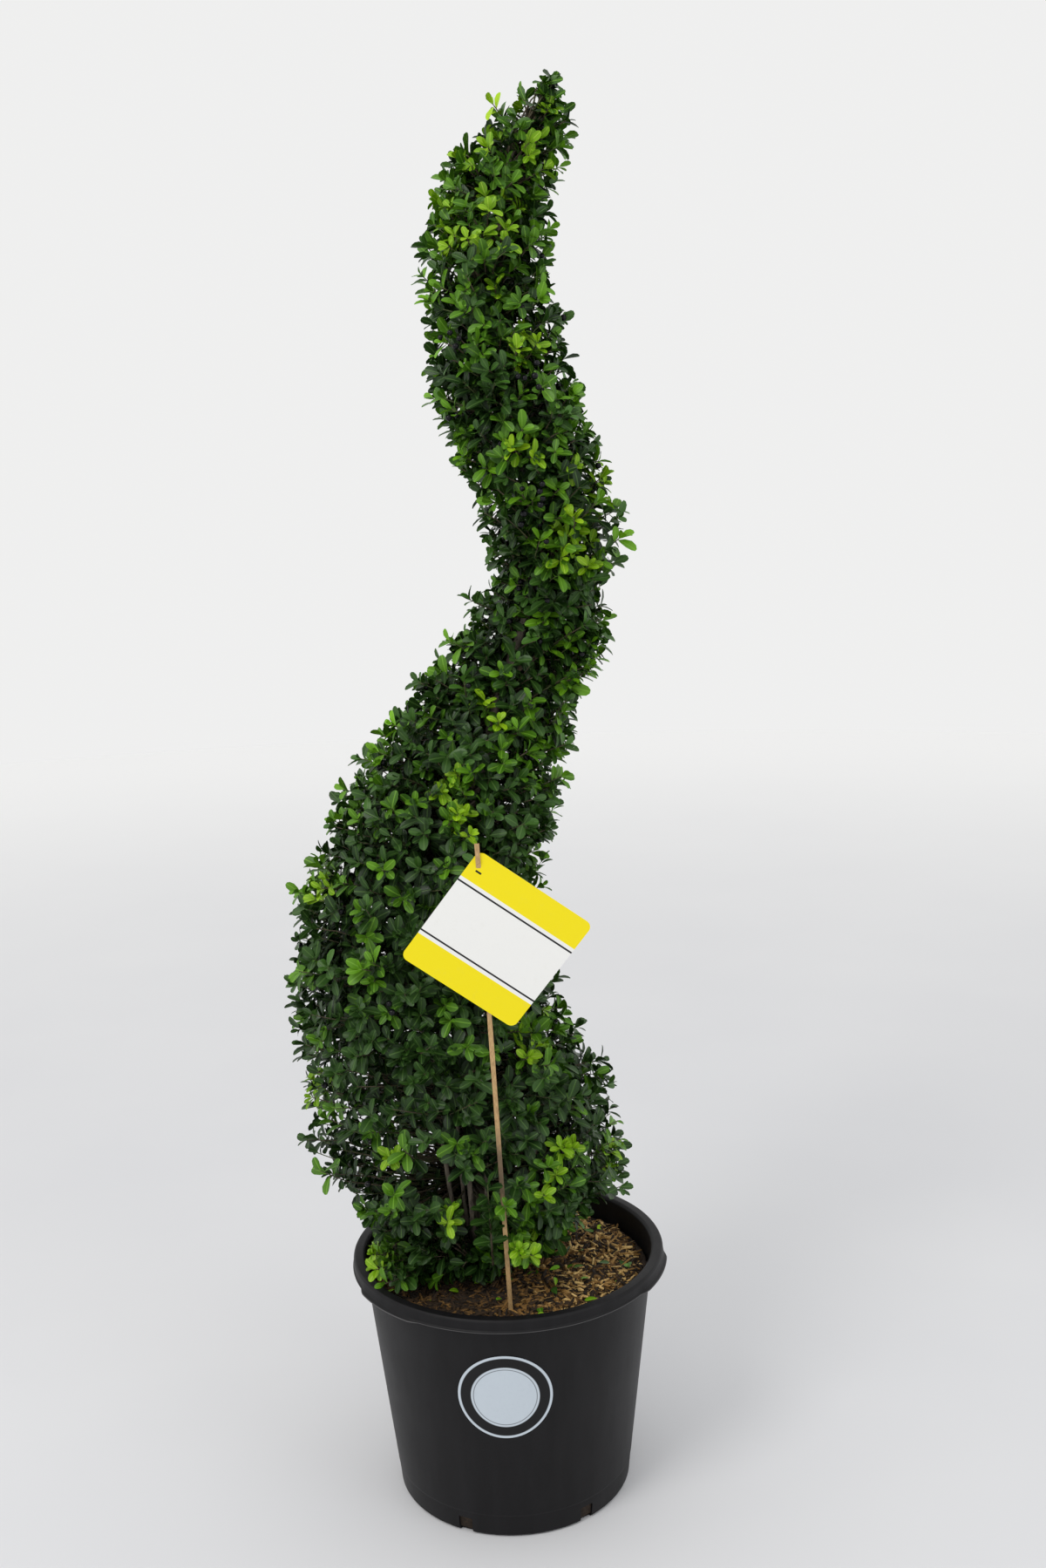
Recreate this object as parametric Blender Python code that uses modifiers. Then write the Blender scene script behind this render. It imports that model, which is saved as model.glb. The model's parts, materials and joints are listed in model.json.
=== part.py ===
"""A Japanese holly clipped as a spiral, in its nursery pot.

Metres, +Z up. The origin is the middle of the pot's flat underside, and the front is towards -Y.
The crown is one strand of foliage that winds round a leaning axis. At each height it has a round
section that stands off the axis, and its masses are slices of that strand, each with a core that
leafy shoots stand out of. Loose sprays hang between the lowest slice and the soil.
"""

import math
import random

import bmesh
import bpy
import numpy as np
from mathutils import Matrix, Vector

# Clear space between neighbouring pieces
GAP = 0.0003

# Pot
POT_HEIGHT = 0.297
POT_FOOT = 0.142
POT_SHOULDER = 0.1765
POT_RIM = 0.190
POT_WALL = 0.0025
RIM_DEPTH = 0.015
RIM_EDGE = 0.003
FLOOR = 0.004
POT_SIDES = 40
GRIP_BEARINGS = (221, 341, 101)
GRIP_SPAN = 34
GRIP_REACH = 0.004
GRIP_DEPTH = 0.006
GRIP_STEPS = 6
NOTCH_COUNT = 6
NOTCH_FIRST = 6
NOTCH_WIDTH = 0.017
NOTCH_HEIGHT = 0.020

# Round label on the pot's wall
STICKER_RADIUS = 0.054
STICKER_CENTRE = (-0.006, 0.191)
STICKER_THICKNESS = 0.0005
STICKER_BAND = 1.2
STICKER_SIDES = 40

# Soil
SOIL_TOP = 0.272
SOIL_FLAT = 0.130
SOIL_FALL = 0.006

# The crown's axis leans from the foot to the tip
AXIS_FOOT = Vector((-0.020, 0.0, 0.280))
AXIS_TIP = Vector((0.053, 0.0, 1.640))

# The strand at its stations, from the tip down: height, bearing round the axis in degrees,
# how far its section stands off the axis, and the section's half width
STATIONS = (
    (1.640, 0, 0.030, 0.022),
    (1.575, 97, 0.030, 0.064),
    (1.495, 185, 0.034, 0.069),
    (1.285, 272, 0.050, 0.082),
    (1.125, 358, 0.057, 0.080),
    (0.990, 450, 0.068, 0.099),
    (0.860, 502, 0.072, 0.130),
    (0.745, 540, 0.095, 0.141),
    (0.620, 547, 0.088, 0.160),
    (0.480, 535, 0.045, 0.187),
    (0.400, 530, 0.034, 0.192),
    (0.345, 530, 0.032, 0.147),
    (0.285, 530, 0.030, 0.112),
)
DEPTH_AT_TIP = 0.95
DEPTH_AT_FOOT = 0.80

# Trunk, wound inside the strand
TRUNK_FOLLOWS = 0.5
TRUNK_TOP = 1.585
TRUNK_FOOT_RADIUS = 0.0105
TRUNK_TOP_RADIUS = 0.0022
FLARE = 0.0075
FLARE_HEIGHT = 0.022
TRUNK_RINGS = 24
TRUNK_FIRST_RISE = 0.004
TRUNK_CROWDING = 1.3
TRUNK_SIDES = 8

# Masses of the clipped strand, from the tip down, with the height where each ends
CROWN_TIP = 1.645
LEADERS = ((0.015, 1.640), (-0.035, 1.622), (0.034, 1.606))
LEADER_ROOT = 0.020
CLIPPED = (
    ("foliage_top_back", 1.520),
    ("foliage_top_left", 1.385),
    ("foliage_upper_front", 1.235),
    ("foliage_upper_right", 1.080),
    ("foliage_middle_back", 0.925),
    ("foliage_middle_left", 0.755),
    ("foliage_lower_left", 0.590),
    ("foliage_lower_front", 0.382),
)
CORE_SHARE = 0.35
CORE_DEPTH_MOST = 0.026
CORE_TIP = 1.600
CORE_SIDES = 14
CORE_RING_SPACING = 0.055
CORE_ROUGHNESS = 0.06

# Loose sprays at the foot: bearing round the trunk and their highest point
SPRAYS = (
    ("foliage_foot_left", 180, 0.381),
    ("foliage_foot_front", 270, 0.366),
    ("foliage_foot_right", 0, 0.381),
    ("foliage_foot_back", 90, 0.381),
)
SPRAY_HALF_ANGLE = 43
SPRAY_LOWEST = 0.281
SPRAY_SHOOTS = 9
SPRAY_TRIES = 200
SPRAY_SWING = 75
SPRAY_SLOPES = (-0.5, 1.1)
SPRAY_LENGTHS = (0.05, 0.10)
SPRAY_LEAF_SHARE = 0.9
SPRAY_BARE = 0.15
SPRAY_CLEAR_OF_POT = 0.006
SPRAY_STEM_SHARE = 0.8
SPRAY_STEM_DROP = 0.045
SPRAY_STEM_SAG = 0.010
STEM_SIDES = 5
STEM_RADII = (0.0030, 0.0026, 0.0020)
STEM_STOPS = 0.004
GOLDEN_SHARE = 0.618
REACH_STEP = 0.002

# Boughs: two rings of four that leave the trunk's foot
RISING = (
    ("bough_back_right", 45),
    ("bough_back_left", 135),
    ("bough_front_left", 225),
    ("bough_front_right", 315),
)
RISING_SAG = 0.012
RISING_START = 0.306
RISING_REACH = 0.095
RISING_RADIUS = 0.0052
RISING_TIP_RADIUS = 0.0034
SPRAY_BOUGH_START = 0.293
SPRAY_BOUGH_REACH = 0.050
SPRAY_BOUGH_RISE = 0.012
SPRAY_BOUGH_RADIUS = 0.0042
SPRAY_BOUGH_TIP_RADIUS = 0.0028
BOUGH_RINGS = 5
BOUGH_SIDES = 6

# Shoots and leaves
SHOOTS_PER_AREA = 172
SHOOT_RISE = 0.016
SHOOT_LIFT = 0.012
SHOOT_STRAY = 0.15
SHOOT_ENDS = (0.95, 1.03)
SHOOT_RADIUS = 0.0019
SHOOT_TIP_RADIUS = 0.0010
LEAF_LENGTH = 0.043
LEAF_LEAST_SHARE = 0.79
LEAF_GAIN = 1.4
LEAF_WIDTH_SHARE = 0.52
LEAF_THICKNESS = 0.0016
LEAF_BROADEST = 0.20
LEAF_SPREAD = 54
LEAF_TURN = 137.5
LEAVES_A_SHOOT = 3
LEAF_STEP = 0.005
LAST_SPREAD = 28
SHOOT_STOPS = 0.70
OUTLINE_MOST = 1.08
LEAF_TRIES = 5
LEAF_SIZES = (0.85, 1.12)
LIMB_CLEARANCE = 0.003
FRUIT_RADIUS = 0.0042
FRUIT_BACK = (0.80, 0.98)
FRUIT_SEAT = 0.75
FRUIT_SHOOTS = 4
FRUIT_BELOW = 1.5
SEED = 27

# Card label on its split stick
STICK_FOOT = Vector((0.0026, -0.118, SOIL_TOP + GAP))
STICK_TOP = Vector((-0.0147, -0.200, 0.838))
STICK_WIDTH = 0.0052
STICK_DEPTH = 0.0028
CARD_SIDE = 0.147
CARD_THICKNESS = 0.0009
CARD_CORNER = 0.008
CARD_ACROSS = 0.002
CARD_HEIGHT = 0.729
CARD_TURN = 37.0
CARD_BANDS = 3
CARD_CLEARANCE = 0.012

COLOURS = {
    "pot": (0.018, 0.018, 0.020, 0.45),
    "soil": (0.090, 0.045, 0.020, 0.95),
    "label": (0.480, 0.540, 0.600, 0.40),
    "card": (0.900, 0.780, 0.050, 0.35),
    "stick": (0.620, 0.420, 0.180, 0.60),
    "bark": (0.130, 0.100, 0.075, 0.85),
    "foliage": (0.035, 0.110, 0.025, 0.45),
}


def clear_scene():
    """Removes whatever the scene holds."""
    for old in list(bpy.data.objects):
        bpy.data.objects.remove(old)


def new_collection(name):
    """A collection linked into the scene."""
    made = bpy.data.collections.new(name)
    bpy.context.scene.collection.children.link(made)
    return made


def material(name):
    """A plain Principled finish from the table of colours."""
    made = bpy.data.materials.get(name)
    if made:
        return made
    red, green, blue, roughness = COLOURS[name]
    made = bpy.data.materials.new(name)
    made.use_nodes = True
    shader = made.node_tree.nodes["Principled BSDF"]
    shader.inputs["Base Color"].default_value = (red, green, blue, 1)
    shader.inputs["Roughness"].default_value = roughness
    return made


def place(name, mesh, finish, collection):
    """An object that holds the mesh, with its finish."""
    mesh.name = name
    made = bpy.data.objects.new(name, mesh)
    if finish:
        mesh.materials.clear()
        mesh.materials.append(material(finish))
    collection.objects.link(made)
    return made


def as_mesh(bm):
    """Closes a bmesh off into a mesh whose faces point out."""
    bmesh.ops.recalc_face_normals(bm, faces=bm.faces)
    mesh = bpy.data.meshes.new("shape")
    bm.to_mesh(mesh)
    bm.free()
    return mesh


def as_cutter(made):
    """Marks a helper that is neither drawn nor built."""
    made.hide_render = True
    made.display_type = "WIRE"
    return made


def boolean(made, operation, other=None, group=None):
    """Adds one Boolean modifier to an object."""
    step = made.modifiers.new(operation.lower(), "BOOLEAN")
    step.operation = operation
    step.solver = "EXACT"
    if group:
        step.operand_type = "COLLECTION"
        step.collection = group
    else:
        step.object = other
    return step


def turned(name, profile, finish, collection):
    """A turned piece: the profile, drawn at +X from the top down its outer side, on a Screw."""
    bm = bmesh.new()
    corners = [bm.verts.new((radius, 0, height)) for radius, height in profile]
    for first, second in zip(corners, corners[1:]):
        bm.edges.new((first, second))
    mesh = bpy.data.meshes.new(name)
    bm.to_mesh(mesh)
    bm.free()
    made = place(name, mesh, finish, collection)
    spin = made.modifiers.new("turn", "SCREW")
    spin.steps = POT_SIDES
    spin.render_steps = POT_SIDES
    spin.use_merge_vertices = True
    spin.merge_threshold = 0.0001
    return made


def wall_radius(height):
    """The pot's outer radius at a height on its wall."""
    share = height / (POT_HEIGHT - RIM_EDGE)
    return POT_FOOT + (POT_SHOULDER - POT_FOOT) * share


def make_pot(parts, cutters):
    """The pot: a tapered wall, a rim turned outwards and down, three grips and six drain notches."""
    inside = wall_radius(POT_HEIGHT) - POT_WALL
    skirt = POT_HEIGHT - RIM_DEPTH
    profile = (
        (0, FLOOR),
        (wall_radius(FLOOR) - POT_WALL, FLOOR),
        (inside, POT_HEIGHT - RIM_EDGE),
        (inside + RIM_EDGE, POT_HEIGHT),
        (POT_RIM - RIM_EDGE, POT_HEIGHT),
        (POT_RIM, POT_HEIGHT - RIM_EDGE),
        (POT_RIM, skirt),
        (POT_RIM - POT_WALL, skirt),
        (POT_RIM - POT_WALL, POT_HEIGHT - 2 * RIM_EDGE),
        (wall_radius(POT_HEIGHT - 2 * RIM_EDGE), POT_HEIGHT - 2 * RIM_EDGE),
        (wall_radius(RIM_EDGE), RIM_EDGE),
        (POT_FOOT - RIM_EDGE, 0),
        (0, 0),
    )
    pot = turned("pot", profile, "pot", parts)
    for number, bearing in enumerate(GRIP_BEARINGS):
        boolean(pot, "UNION", make_grip(number, bearing, cutters))
    for number in range(NOTCH_COUNT):
        boolean(pot, "DIFFERENCE", make_notch(number, cutters))
    return pot


def make_grip(number, bearing, cutters):
    """A short arc that sticks out under the rim, for the fingers."""
    low = POT_HEIGHT - RIM_DEPTH
    inner = POT_RIM - POT_WALL / 2
    bm = bmesh.new()
    section = ((inner, low), (POT_RIM + GRIP_REACH, low), (inner, low + GRIP_DEPTH))
    corners = [bm.verts.new((radius, 0, height)) for radius, height in section]
    face = bm.faces.new(corners)
    start = Matrix.Rotation(math.radians(bearing - GRIP_SPAN / 2), 3, "Z")
    bmesh.ops.rotate(bm, verts=bm.verts, matrix=start)
    bmesh.ops.spin(
        bm,
        geom=[face, *face.edges, *face.verts],
        axis=(0, 0, 1),
        angle=math.radians(GRIP_SPAN),
        steps=GRIP_STEPS,
        use_duplicate=False,
    )
    bmesh.ops.holes_fill(bm, edges=[e for e in bm.edges if e.is_boundary], sides=3)
    return as_cutter(place(f"cut_grip_{number}", as_mesh(bm), None, cutters))


def make_notch(number, cutters):
    """The box that cuts one drain notch from the foot of the wall."""
    bearing = math.radians(NOTCH_FIRST + number * 360 / NOTCH_COUNT)
    bm = bmesh.new()
    bmesh.ops.create_cube(bm, size=1)
    bmesh.ops.scale(bm, vec=(5 * POT_WALL, NOTCH_WIDTH, 2 * NOTCH_HEIGHT), verts=bm.verts)
    bmesh.ops.translate(bm, vec=(POT_FOOT, 0, 0), verts=bm.verts)
    bmesh.ops.rotate(bm, verts=bm.verts, matrix=Matrix.Rotation(bearing, 3, "Z"))
    return as_cutter(place(f"cut_notch_{number}", as_mesh(bm), None, cutters))


def make_sticker(parts, cutters):
    """A thin round label that lies on the wall: a conical band kept inside an upright cylinder."""
    across, middle = STICKER_CENTRE
    low = middle - STICKER_BAND * STICKER_RADIUS
    high = middle + STICKER_BAND * STICKER_RADIUS
    near = GAP
    far = GAP + STICKER_THICKNESS
    profile = (
        (wall_radius(high) + near, high),
        (wall_radius(high) + far, high),
        (wall_radius(low) + far, low),
        (wall_radius(low) + near, low),
        (wall_radius(high) + near, high),
    )
    sticker = turned("pot_label", profile, "label", parts)
    bm = bmesh.new()
    bmesh.ops.create_cone(
        bm,
        cap_ends=True,
        segments=STICKER_SIDES,
        radius1=STICKER_RADIUS,
        radius2=STICKER_RADIUS,
        depth=POT_RIM,
    )
    bmesh.ops.rotate(bm, verts=bm.verts, matrix=Matrix.Rotation(math.radians(90), 3, "X"))
    bmesh.ops.translate(bm, vec=(across, -POT_RIM / 2 - GAP, middle), verts=bm.verts)
    disc = as_cutter(place("cut_sticker", as_mesh(bm), None, cutters))
    boolean(sticker, "INTERSECT", disc)
    return sticker


def make_soil(parts):
    """The filling: flat where the stems stand, a little lower at the wall, clear of pot and floor."""
    edge = SOIL_TOP - SOIL_FALL
    low = FLOOR + GAP
    profile = (
        (0, SOIL_TOP),
        (SOIL_FLAT, SOIL_TOP),
        (wall_radius(edge) - POT_WALL - 2 * GAP, edge),
        (wall_radius(low) - POT_WALL - 2 * GAP, low),
        (0, low),
    )
    return turned("soil", profile, "soil", parts)


def outwards(bearing):
    """The level direction of a bearing in degrees, where 0 is +X and 90 is the back."""
    turn = math.radians(bearing)
    return Vector((math.cos(turn), math.sin(turn), 0))


def strand(height):
    """The strand's section at a height: its middle, half width and half depth."""
    table = np.array(STATIONS[::-1])
    heights = table[:, 0]
    height = float(np.clip(height, heights[0], heights[-1]))
    row = int(np.clip(np.searchsorted(heights, height) - 1, 0, len(heights) - 2))
    span = heights[row + 1] - heights[row]
    share = (height - heights[row]) / span
    ease = share * share * (3 - 2 * share)
    slopes = np.gradient(table[:, 1:], heights, axis=0)
    bend = share * (1 - share) * span
    values = (1 - ease) * table[row, 1:] + ease * table[row + 1, 1:]
    values += bend * ((1 - share) * slopes[row] - share * slopes[row + 1])
    bearing, reach, girth = (float(value) for value in values)
    along = (height - AXIS_FOOT.z) / (AXIS_TIP.z - AXIS_FOOT.z)
    axis = AXIS_FOOT.lerp(AXIS_TIP, along)
    offset = reach * outwards(bearing)
    depth = DEPTH_AT_FOOT + (DEPTH_AT_TIP - DEPTH_AT_FOOT) * along
    return axis, offset, girth, girth * depth


def section_point(height, bearing, share):
    """A point of the strand at a share of the way from its middle to its outline."""
    axis, offset, width, depth = strand(height)
    reach = Vector((width * math.cos(bearing), depth * math.sin(bearing), 0))
    point = axis + offset + share * reach
    point.z = height
    return point


def outline_share(point):
    """How far out a point lies, where 1 is the strand's outline."""
    axis, offset, width, depth = strand(point.z)
    away = point - axis - offset
    return math.hypot(away.x / width, away.y / depth)


def trunk_point(height):
    """The trunk's middle line, which winds with the strand but stays nearer to the axis."""
    axis, offset, _, _ = strand(height)
    point = axis + TRUNK_FOLLOWS * offset
    point.z = height
    return point


def trunk_line():
    """The trunk's points and radii, from the flat cut at the soil to the tip."""
    foot = SOIL_TOP + GAP
    points = [trunk_point(foot)]
    radii = [TRUNK_FOOT_RADIUS + FLARE]
    for number in range(TRUNK_RINGS):
        share = number / (TRUNK_RINGS - 1)
        rise = TRUNK_FIRST_RISE + (TRUNK_TOP - foot) * share**TRUNK_CROWDING
        point = trunk_point(foot + rise)
        if number == 0:
            point.x, point.y = points[0].x, points[0].y
        flare = FLARE * math.exp(-rise / FLARE_HEIGHT)
        points.append(point)
        radii.append(TRUNK_FOOT_RADIUS + (TRUNK_TOP_RADIUS - TRUNK_FOOT_RADIUS) * share + flare)
    return points, radii


def limb_mesh(points, radii, sides, foot_faces=None, tip_faces=None):
    """A round limb: a ring at each point, bridged to the next. Its end caps may be turned a given way."""
    bm = bmesh.new()
    loops = []
    for number, radius in enumerate(radii):
        before = points[max(number - 1, 0)]
        after = points[min(number + 1, len(points) - 1)]
        along = (after - before).normalized()
        if foot_faces and number == 0:
            along = foot_faces
        if tip_faces and number == len(points) - 1:
            along = tip_faces
        turn = Vector((0, 0, 1)).rotation_difference(along).to_matrix().to_4x4()
        where = Matrix.Translation(points[number]) @ turn
        ring = bmesh.ops.create_circle(bm, segments=sides, radius=radius, matrix=where)
        loops.append(list({edge for vert in ring["verts"] for edge in vert.link_edges}))
    for lower, upper in zip(loops, loops[1:]):
        bmesh.ops.bridge_loops(bm, edges=lower + upper)
    bmesh.ops.holes_fill(bm, edges=[e for e in bm.edges if e.is_boundary], sides=sides)
    return as_mesh(bm)


def bent_line(start, end, sag, start_radius, end_radius):
    """Points and radii of a limb that sags between its start and its end."""
    points = []
    radii = []
    for number in range(BOUGH_RINGS):
        share = number / (BOUGH_RINGS - 1)
        point = start.lerp(end, share)
        point.z -= sag * math.sin(math.pi * share)
        points.append(point)
        radii.append(start_radius + (end_radius - start_radius) * share)
    return points, radii


def make_limbs(parts, cutters):
    """The trunk and its boughs. Returns each limb's line, and the swollen trunk that cuts clear of it."""
    points, radii = trunk_line()
    place("trunk", limb_mesh(points, radii, TRUNK_SIDES), "bark", parts)
    lines = {"trunk": (points, radii)}
    wide = [radius + GAP for radius in radii]
    long = [points[0] - Vector((0, 0, FLARE))] + points[1:-1]
    long.append(points[-1] + (points[-1] - points[-2]).normalized() * GAP)
    swollen = as_cutter(place("cut_trunk", limb_mesh(long, wide, TRUNK_SIDES), None, cutters))
    ceiling = CLIPPED[-1][1]
    boughs = {}
    for name, bearing in RISING:
        start = trunk_point(RISING_START)
        end = trunk_point(ceiling) + RISING_REACH * outwards(bearing)
        line = bent_line(start, end, RISING_SAG, RISING_RADIUS, RISING_TIP_RADIUS)
        boughs[name] = (*line, Vector((0, 0, 1)))
    for name, bearing, _ in SPRAYS:
        start = trunk_point(SPRAY_BOUGH_START)
        end = start + SPRAY_BOUGH_REACH * outwards(bearing)
        end.z += SPRAY_BOUGH_RISE
        line = bent_line(start, end, 0, SPRAY_BOUGH_RADIUS, SPRAY_BOUGH_TIP_RADIUS)
        boughs[name.replace("foliage", "bough")] = (*line, outwards(bearing))
    for name, (points, radii, faces) in boughs.items():
        bough = place(name, limb_mesh(points, radii, BOUGH_SIDES, tip_faces=faces), "bark", parts)
        boolean(bough, "DIFFERENCE", swollen)
        lines[name] = (points, radii)
    return lines, swollen


def make_core(name, low, high, rng, collection):
    """A mass's core: an upright cylinder cut into rings, and drawn onto the strand's section."""
    bm = bmesh.new()
    bmesh.ops.create_cone(bm, cap_ends=True, segments=CORE_SIDES, radius1=1, radius2=1, depth=high - low)
    bmesh.ops.translate(bm, vec=(0, 0, (low + high) / 2), verts=bm.verts)
    count = max(2, round((high - low) / CORE_RING_SPACING))
    for number in range(1, count):
        everything = [*bm.verts, *bm.edges, *bm.faces]
        height = low + (high - low) * number / count
        bmesh.ops.bisect_plane(bm, geom=everything, plane_co=(0, 0, height), plane_no=(0, 0, 1))
    for vert in bm.verts:
        bearing = math.atan2(vert.co.y, vert.co.x)
        rough = 1 + rng.uniform(-CORE_ROUGHNESS, CORE_ROUGHNESS)
        vert.co = section_point(vert.co.z, bearing, core_share(vert.co.z) * rough)
    return place(name, as_mesh(bm), "foliage", collection)


def core_share(height):
    """The core's size as a share of the strand's section."""
    _, _, width, _ = strand(height)
    return 1 - min(CORE_SHARE, CORE_DEPTH_MOST / width)


def leaf_mesh(root, along, face, length):
    """A thin leaf of eight faces, broadest past its middle, whose root is a point."""
    bm = bmesh.new()
    bmesh.ops.create_uvsphere(bm, u_segments=4, v_segments=2, radius=1)
    across = along.cross(face).normalized()
    up = across.cross(along).normalized()
    for vert in bm.verts:
        x, y, z = vert.co
        if abs(z) < 0.5:
            z = LEAF_BROADEST
        reach = across * (x * length * LEAF_WIDTH_SHARE / 2)
        reach += up * (y * LEAF_THICKNESS / 2)
        vert.co = root + reach + along * ((z + 1) * length / 2)
    return as_mesh(bm)


def near_limb(points, lines):
    """Whether any of the points lies within the clearance of a limb."""
    for line, radii in lines.values():
        for first, second, radius in zip(line, line[1:], radii):
            run = second - first
            for point in points:
                share = max(0.0, min(1.0, (point - first).dot(run) / run.length_squared))
                if (point - first - run * share).length < radius + LIMB_CLEARANCE:
                    return True
    return False


def leaf_points(root, along, face, length):
    """Points over a leaf that stand for it in a test of the space round it."""
    across = along.cross(face).normalized() * (length * LEAF_WIDTH_SHARE / 2)
    middle = root + along * (length * (1 + LEAF_BROADEST) / 2)
    tip = root + along * length
    return (middle + across, middle - across, middle, tip, (middle + tip) / 2)


def grow_shoot(root, tip, fits, rng, size, collection, bare, least):
    """One shoot: a three-sided twig with leaves in turn up its outer part and one at its end."""
    along = (tip - root).normalized()
    end = tip - along * (SHOOT_STOPS * size)
    if not all(fits([root.lerp(end, share)]) for share in (bare, (1 + bare) / 2, 1)):
        return False
    side = along.orthogonal().normalized()
    turn = rng.uniform(0, 360)
    leaves = []
    for number in range(LEAVES_A_SHOOT):
        last = number == LEAVES_A_SHOOT - 1
        where = end - along * (LEAF_STEP * (LEAVES_A_SHOOT - 1 - number) + SHOOT_TIP_RADIUS)
        for _ in range(LEAF_TRIES):
            turn += LEAF_TURN
            spread = math.radians((LAST_SPREAD if last else LEAF_SPREAD) * rng.uniform(0.8, 1.2))
            out = Matrix.Rotation(math.radians(turn), 3, along) @ side
            way = (along * math.cos(spread) + out * math.sin(spread)).normalized()
            face = (along * math.sin(spread) - out * math.cos(spread)).normalized()
            length = size * rng.uniform(*LEAF_SIZES)
            if fits(leaf_points(where, way, face, length)):
                leaves.append((where, way, face, length))
                break
    if len(leaves) < least:
        return False
    place("twig", limb_mesh((root, end), (SHOOT_RADIUS, SHOOT_TIP_RADIUS), 3), None, collection)
    for leaf in leaves:
        place("leaf", leaf_mesh(*leaf), None, collection)
    return True


def grow_fruit(root, tip, size, rng, fits, collection):
    """A pair of round fruits that sit against the outer part of a shoot's twig."""
    along = (tip - root).normalized()
    for back in FRUIT_BACK:
        where = tip - along * (back * size)
        out = Matrix.Rotation(rng.uniform(0, math.tau), 3, along) @ along.orthogonal().normalized()
        middle = where + out * (FRUIT_SEAT * FRUIT_RADIUS)
        poles = Vector((0, 0, FRUIT_RADIUS))
        if fits([middle + poles, middle - poles]):
            bm = bmesh.new()
            bmesh.ops.create_icosphere(bm, subdivisions=1, radius=FRUIT_RADIUS)
            bmesh.ops.translate(bm, vec=middle, verts=bm.verts)
            place("fruit", as_mesh(bm), None, collection)


def join_mass(made, collection, swollen):
    """Joins a mass by one union, cuts it clear of the trunk and keeps its one whole body."""
    boolean(made, "UNION", group=collection)
    if swollen:
        boolean(made, "DIFFERENCE", swollen)
    bpy.context.view_layer.update()
    graph = bpy.context.evaluated_depsgraph_get()
    mesh = bpy.data.meshes.new_from_object(made.evaluated_get(graph))
    made.modifiers.clear()
    made.data = mesh
    mesh.materials.clear()
    mesh.materials.append(material("foliage"))
    for old in list(collection.objects):
        bpy.data.objects.remove(old)
    bpy.data.collections.remove(collection)
    keep_largest(mesh)


def keep_largest(mesh):
    """Drops scraps and sealed hollows, which are the smaller of a mesh's separate surfaces."""
    bm = bmesh.new()
    bm.from_mesh(mesh)
    bmesh.ops.triangulate(bm, faces=bm.faces)
    left = set(bm.verts)
    groups = []
    while left:
        start = left.pop()
        group = {start}
        waiting = [start]
        while waiting:
            vert = waiting.pop()
            for link in vert.link_edges:
                other = link.other_vert(vert)
                if other in left:
                    left.remove(other)
                    group.add(other)
                    waiting.append(other)
        groups.append(group)
    groups.sort(key=len)
    for group in groups[:-1]:
        bmesh.ops.delete(bm, geom=list(group), context="VERTS")
    bm.to_mesh(mesh)
    bm.free()


def grow_clipped(name, low, high, lines, swollen, rng, parts):
    """One slice of the strand: a core with shoots set evenly over it, in its own space."""
    floor = low + GAP
    ceiling = high - GAP
    top = min(ceiling, CORE_TIP)
    core = make_core(name, floor, top, rng, parts)
    group = new_collection("joining")

    def fits(points):
        for point in points:
            in_slice = floor + SHOOT_TIP_RADIUS < point.z < ceiling - SHOOT_TIP_RADIUS
            if not in_slice or outline_share(point) > OUTLINE_MOST:
                return False
        return not near_limb(points, lines)

    def fits_leader(points):
        return all(point.z < CROWN_TIP for point in points) and not near_limb(points, lines)

    stem = [stem_point(height) for height in (floor + STEM_STOPS, (floor + top) / 2, top - STEM_STOPS)]
    place("stem", limb_mesh(stem, STEM_RADII, STEM_SIDES), None, group)
    middle = (low + high) / 2
    _, _, width, depth = strand(middle)
    count = round(SHOOTS_PER_AREA * math.pi * (width + depth) * (high - low))
    size = LEAF_LENGTH * (LEAF_LEAST_SHARE + LEAF_GAIN * width)
    fruit_every = count // FRUIT_SHOOTS + 1
    for number in range(count):
        bearing = number * math.radians(LEAF_TURN) + rng.uniform(-SHOOT_STRAY, SHOOT_STRAY)
        height = floor + (ceiling - floor) * (number + 0.5) / count
        lift = SHOOT_LIFT if height < middle else SHOOT_LIFT / 3
        aim = min(height + lift, ceiling - STEM_STOPS / 2)
        tip = section_point(aim, bearing, rng.uniform(*SHOOT_ENDS))
        foot = max(floor + STEM_STOPS, min(aim - SHOOT_RISE, top - STEM_STOPS))
        root = stem_point(foot)
        bare = core_share(height)
        grow_shoot(root, tip, fits, rng, size, group, bare, 1)
        if number % fruit_every == fruit_every // 2 and high < FRUIT_BELOW:
            grow_fruit(root, tip, size, rng, fits, group)
    if high == CROWN_TIP:
        for lean, peak in LEADERS:
            root = stem_point(top - LEADER_ROOT)
            tip = Vector((root.x + lean, root.y, peak))
            grow_shoot(root, tip, fits_leader, rng, size, group, 0.5, 1)
    join_mass(core, group, swollen)


def stem_point(height):
    """A point of a clipped mass's own stem, which climbs through the middle of the strand."""
    return section_point(height, 0, 0)


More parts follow.
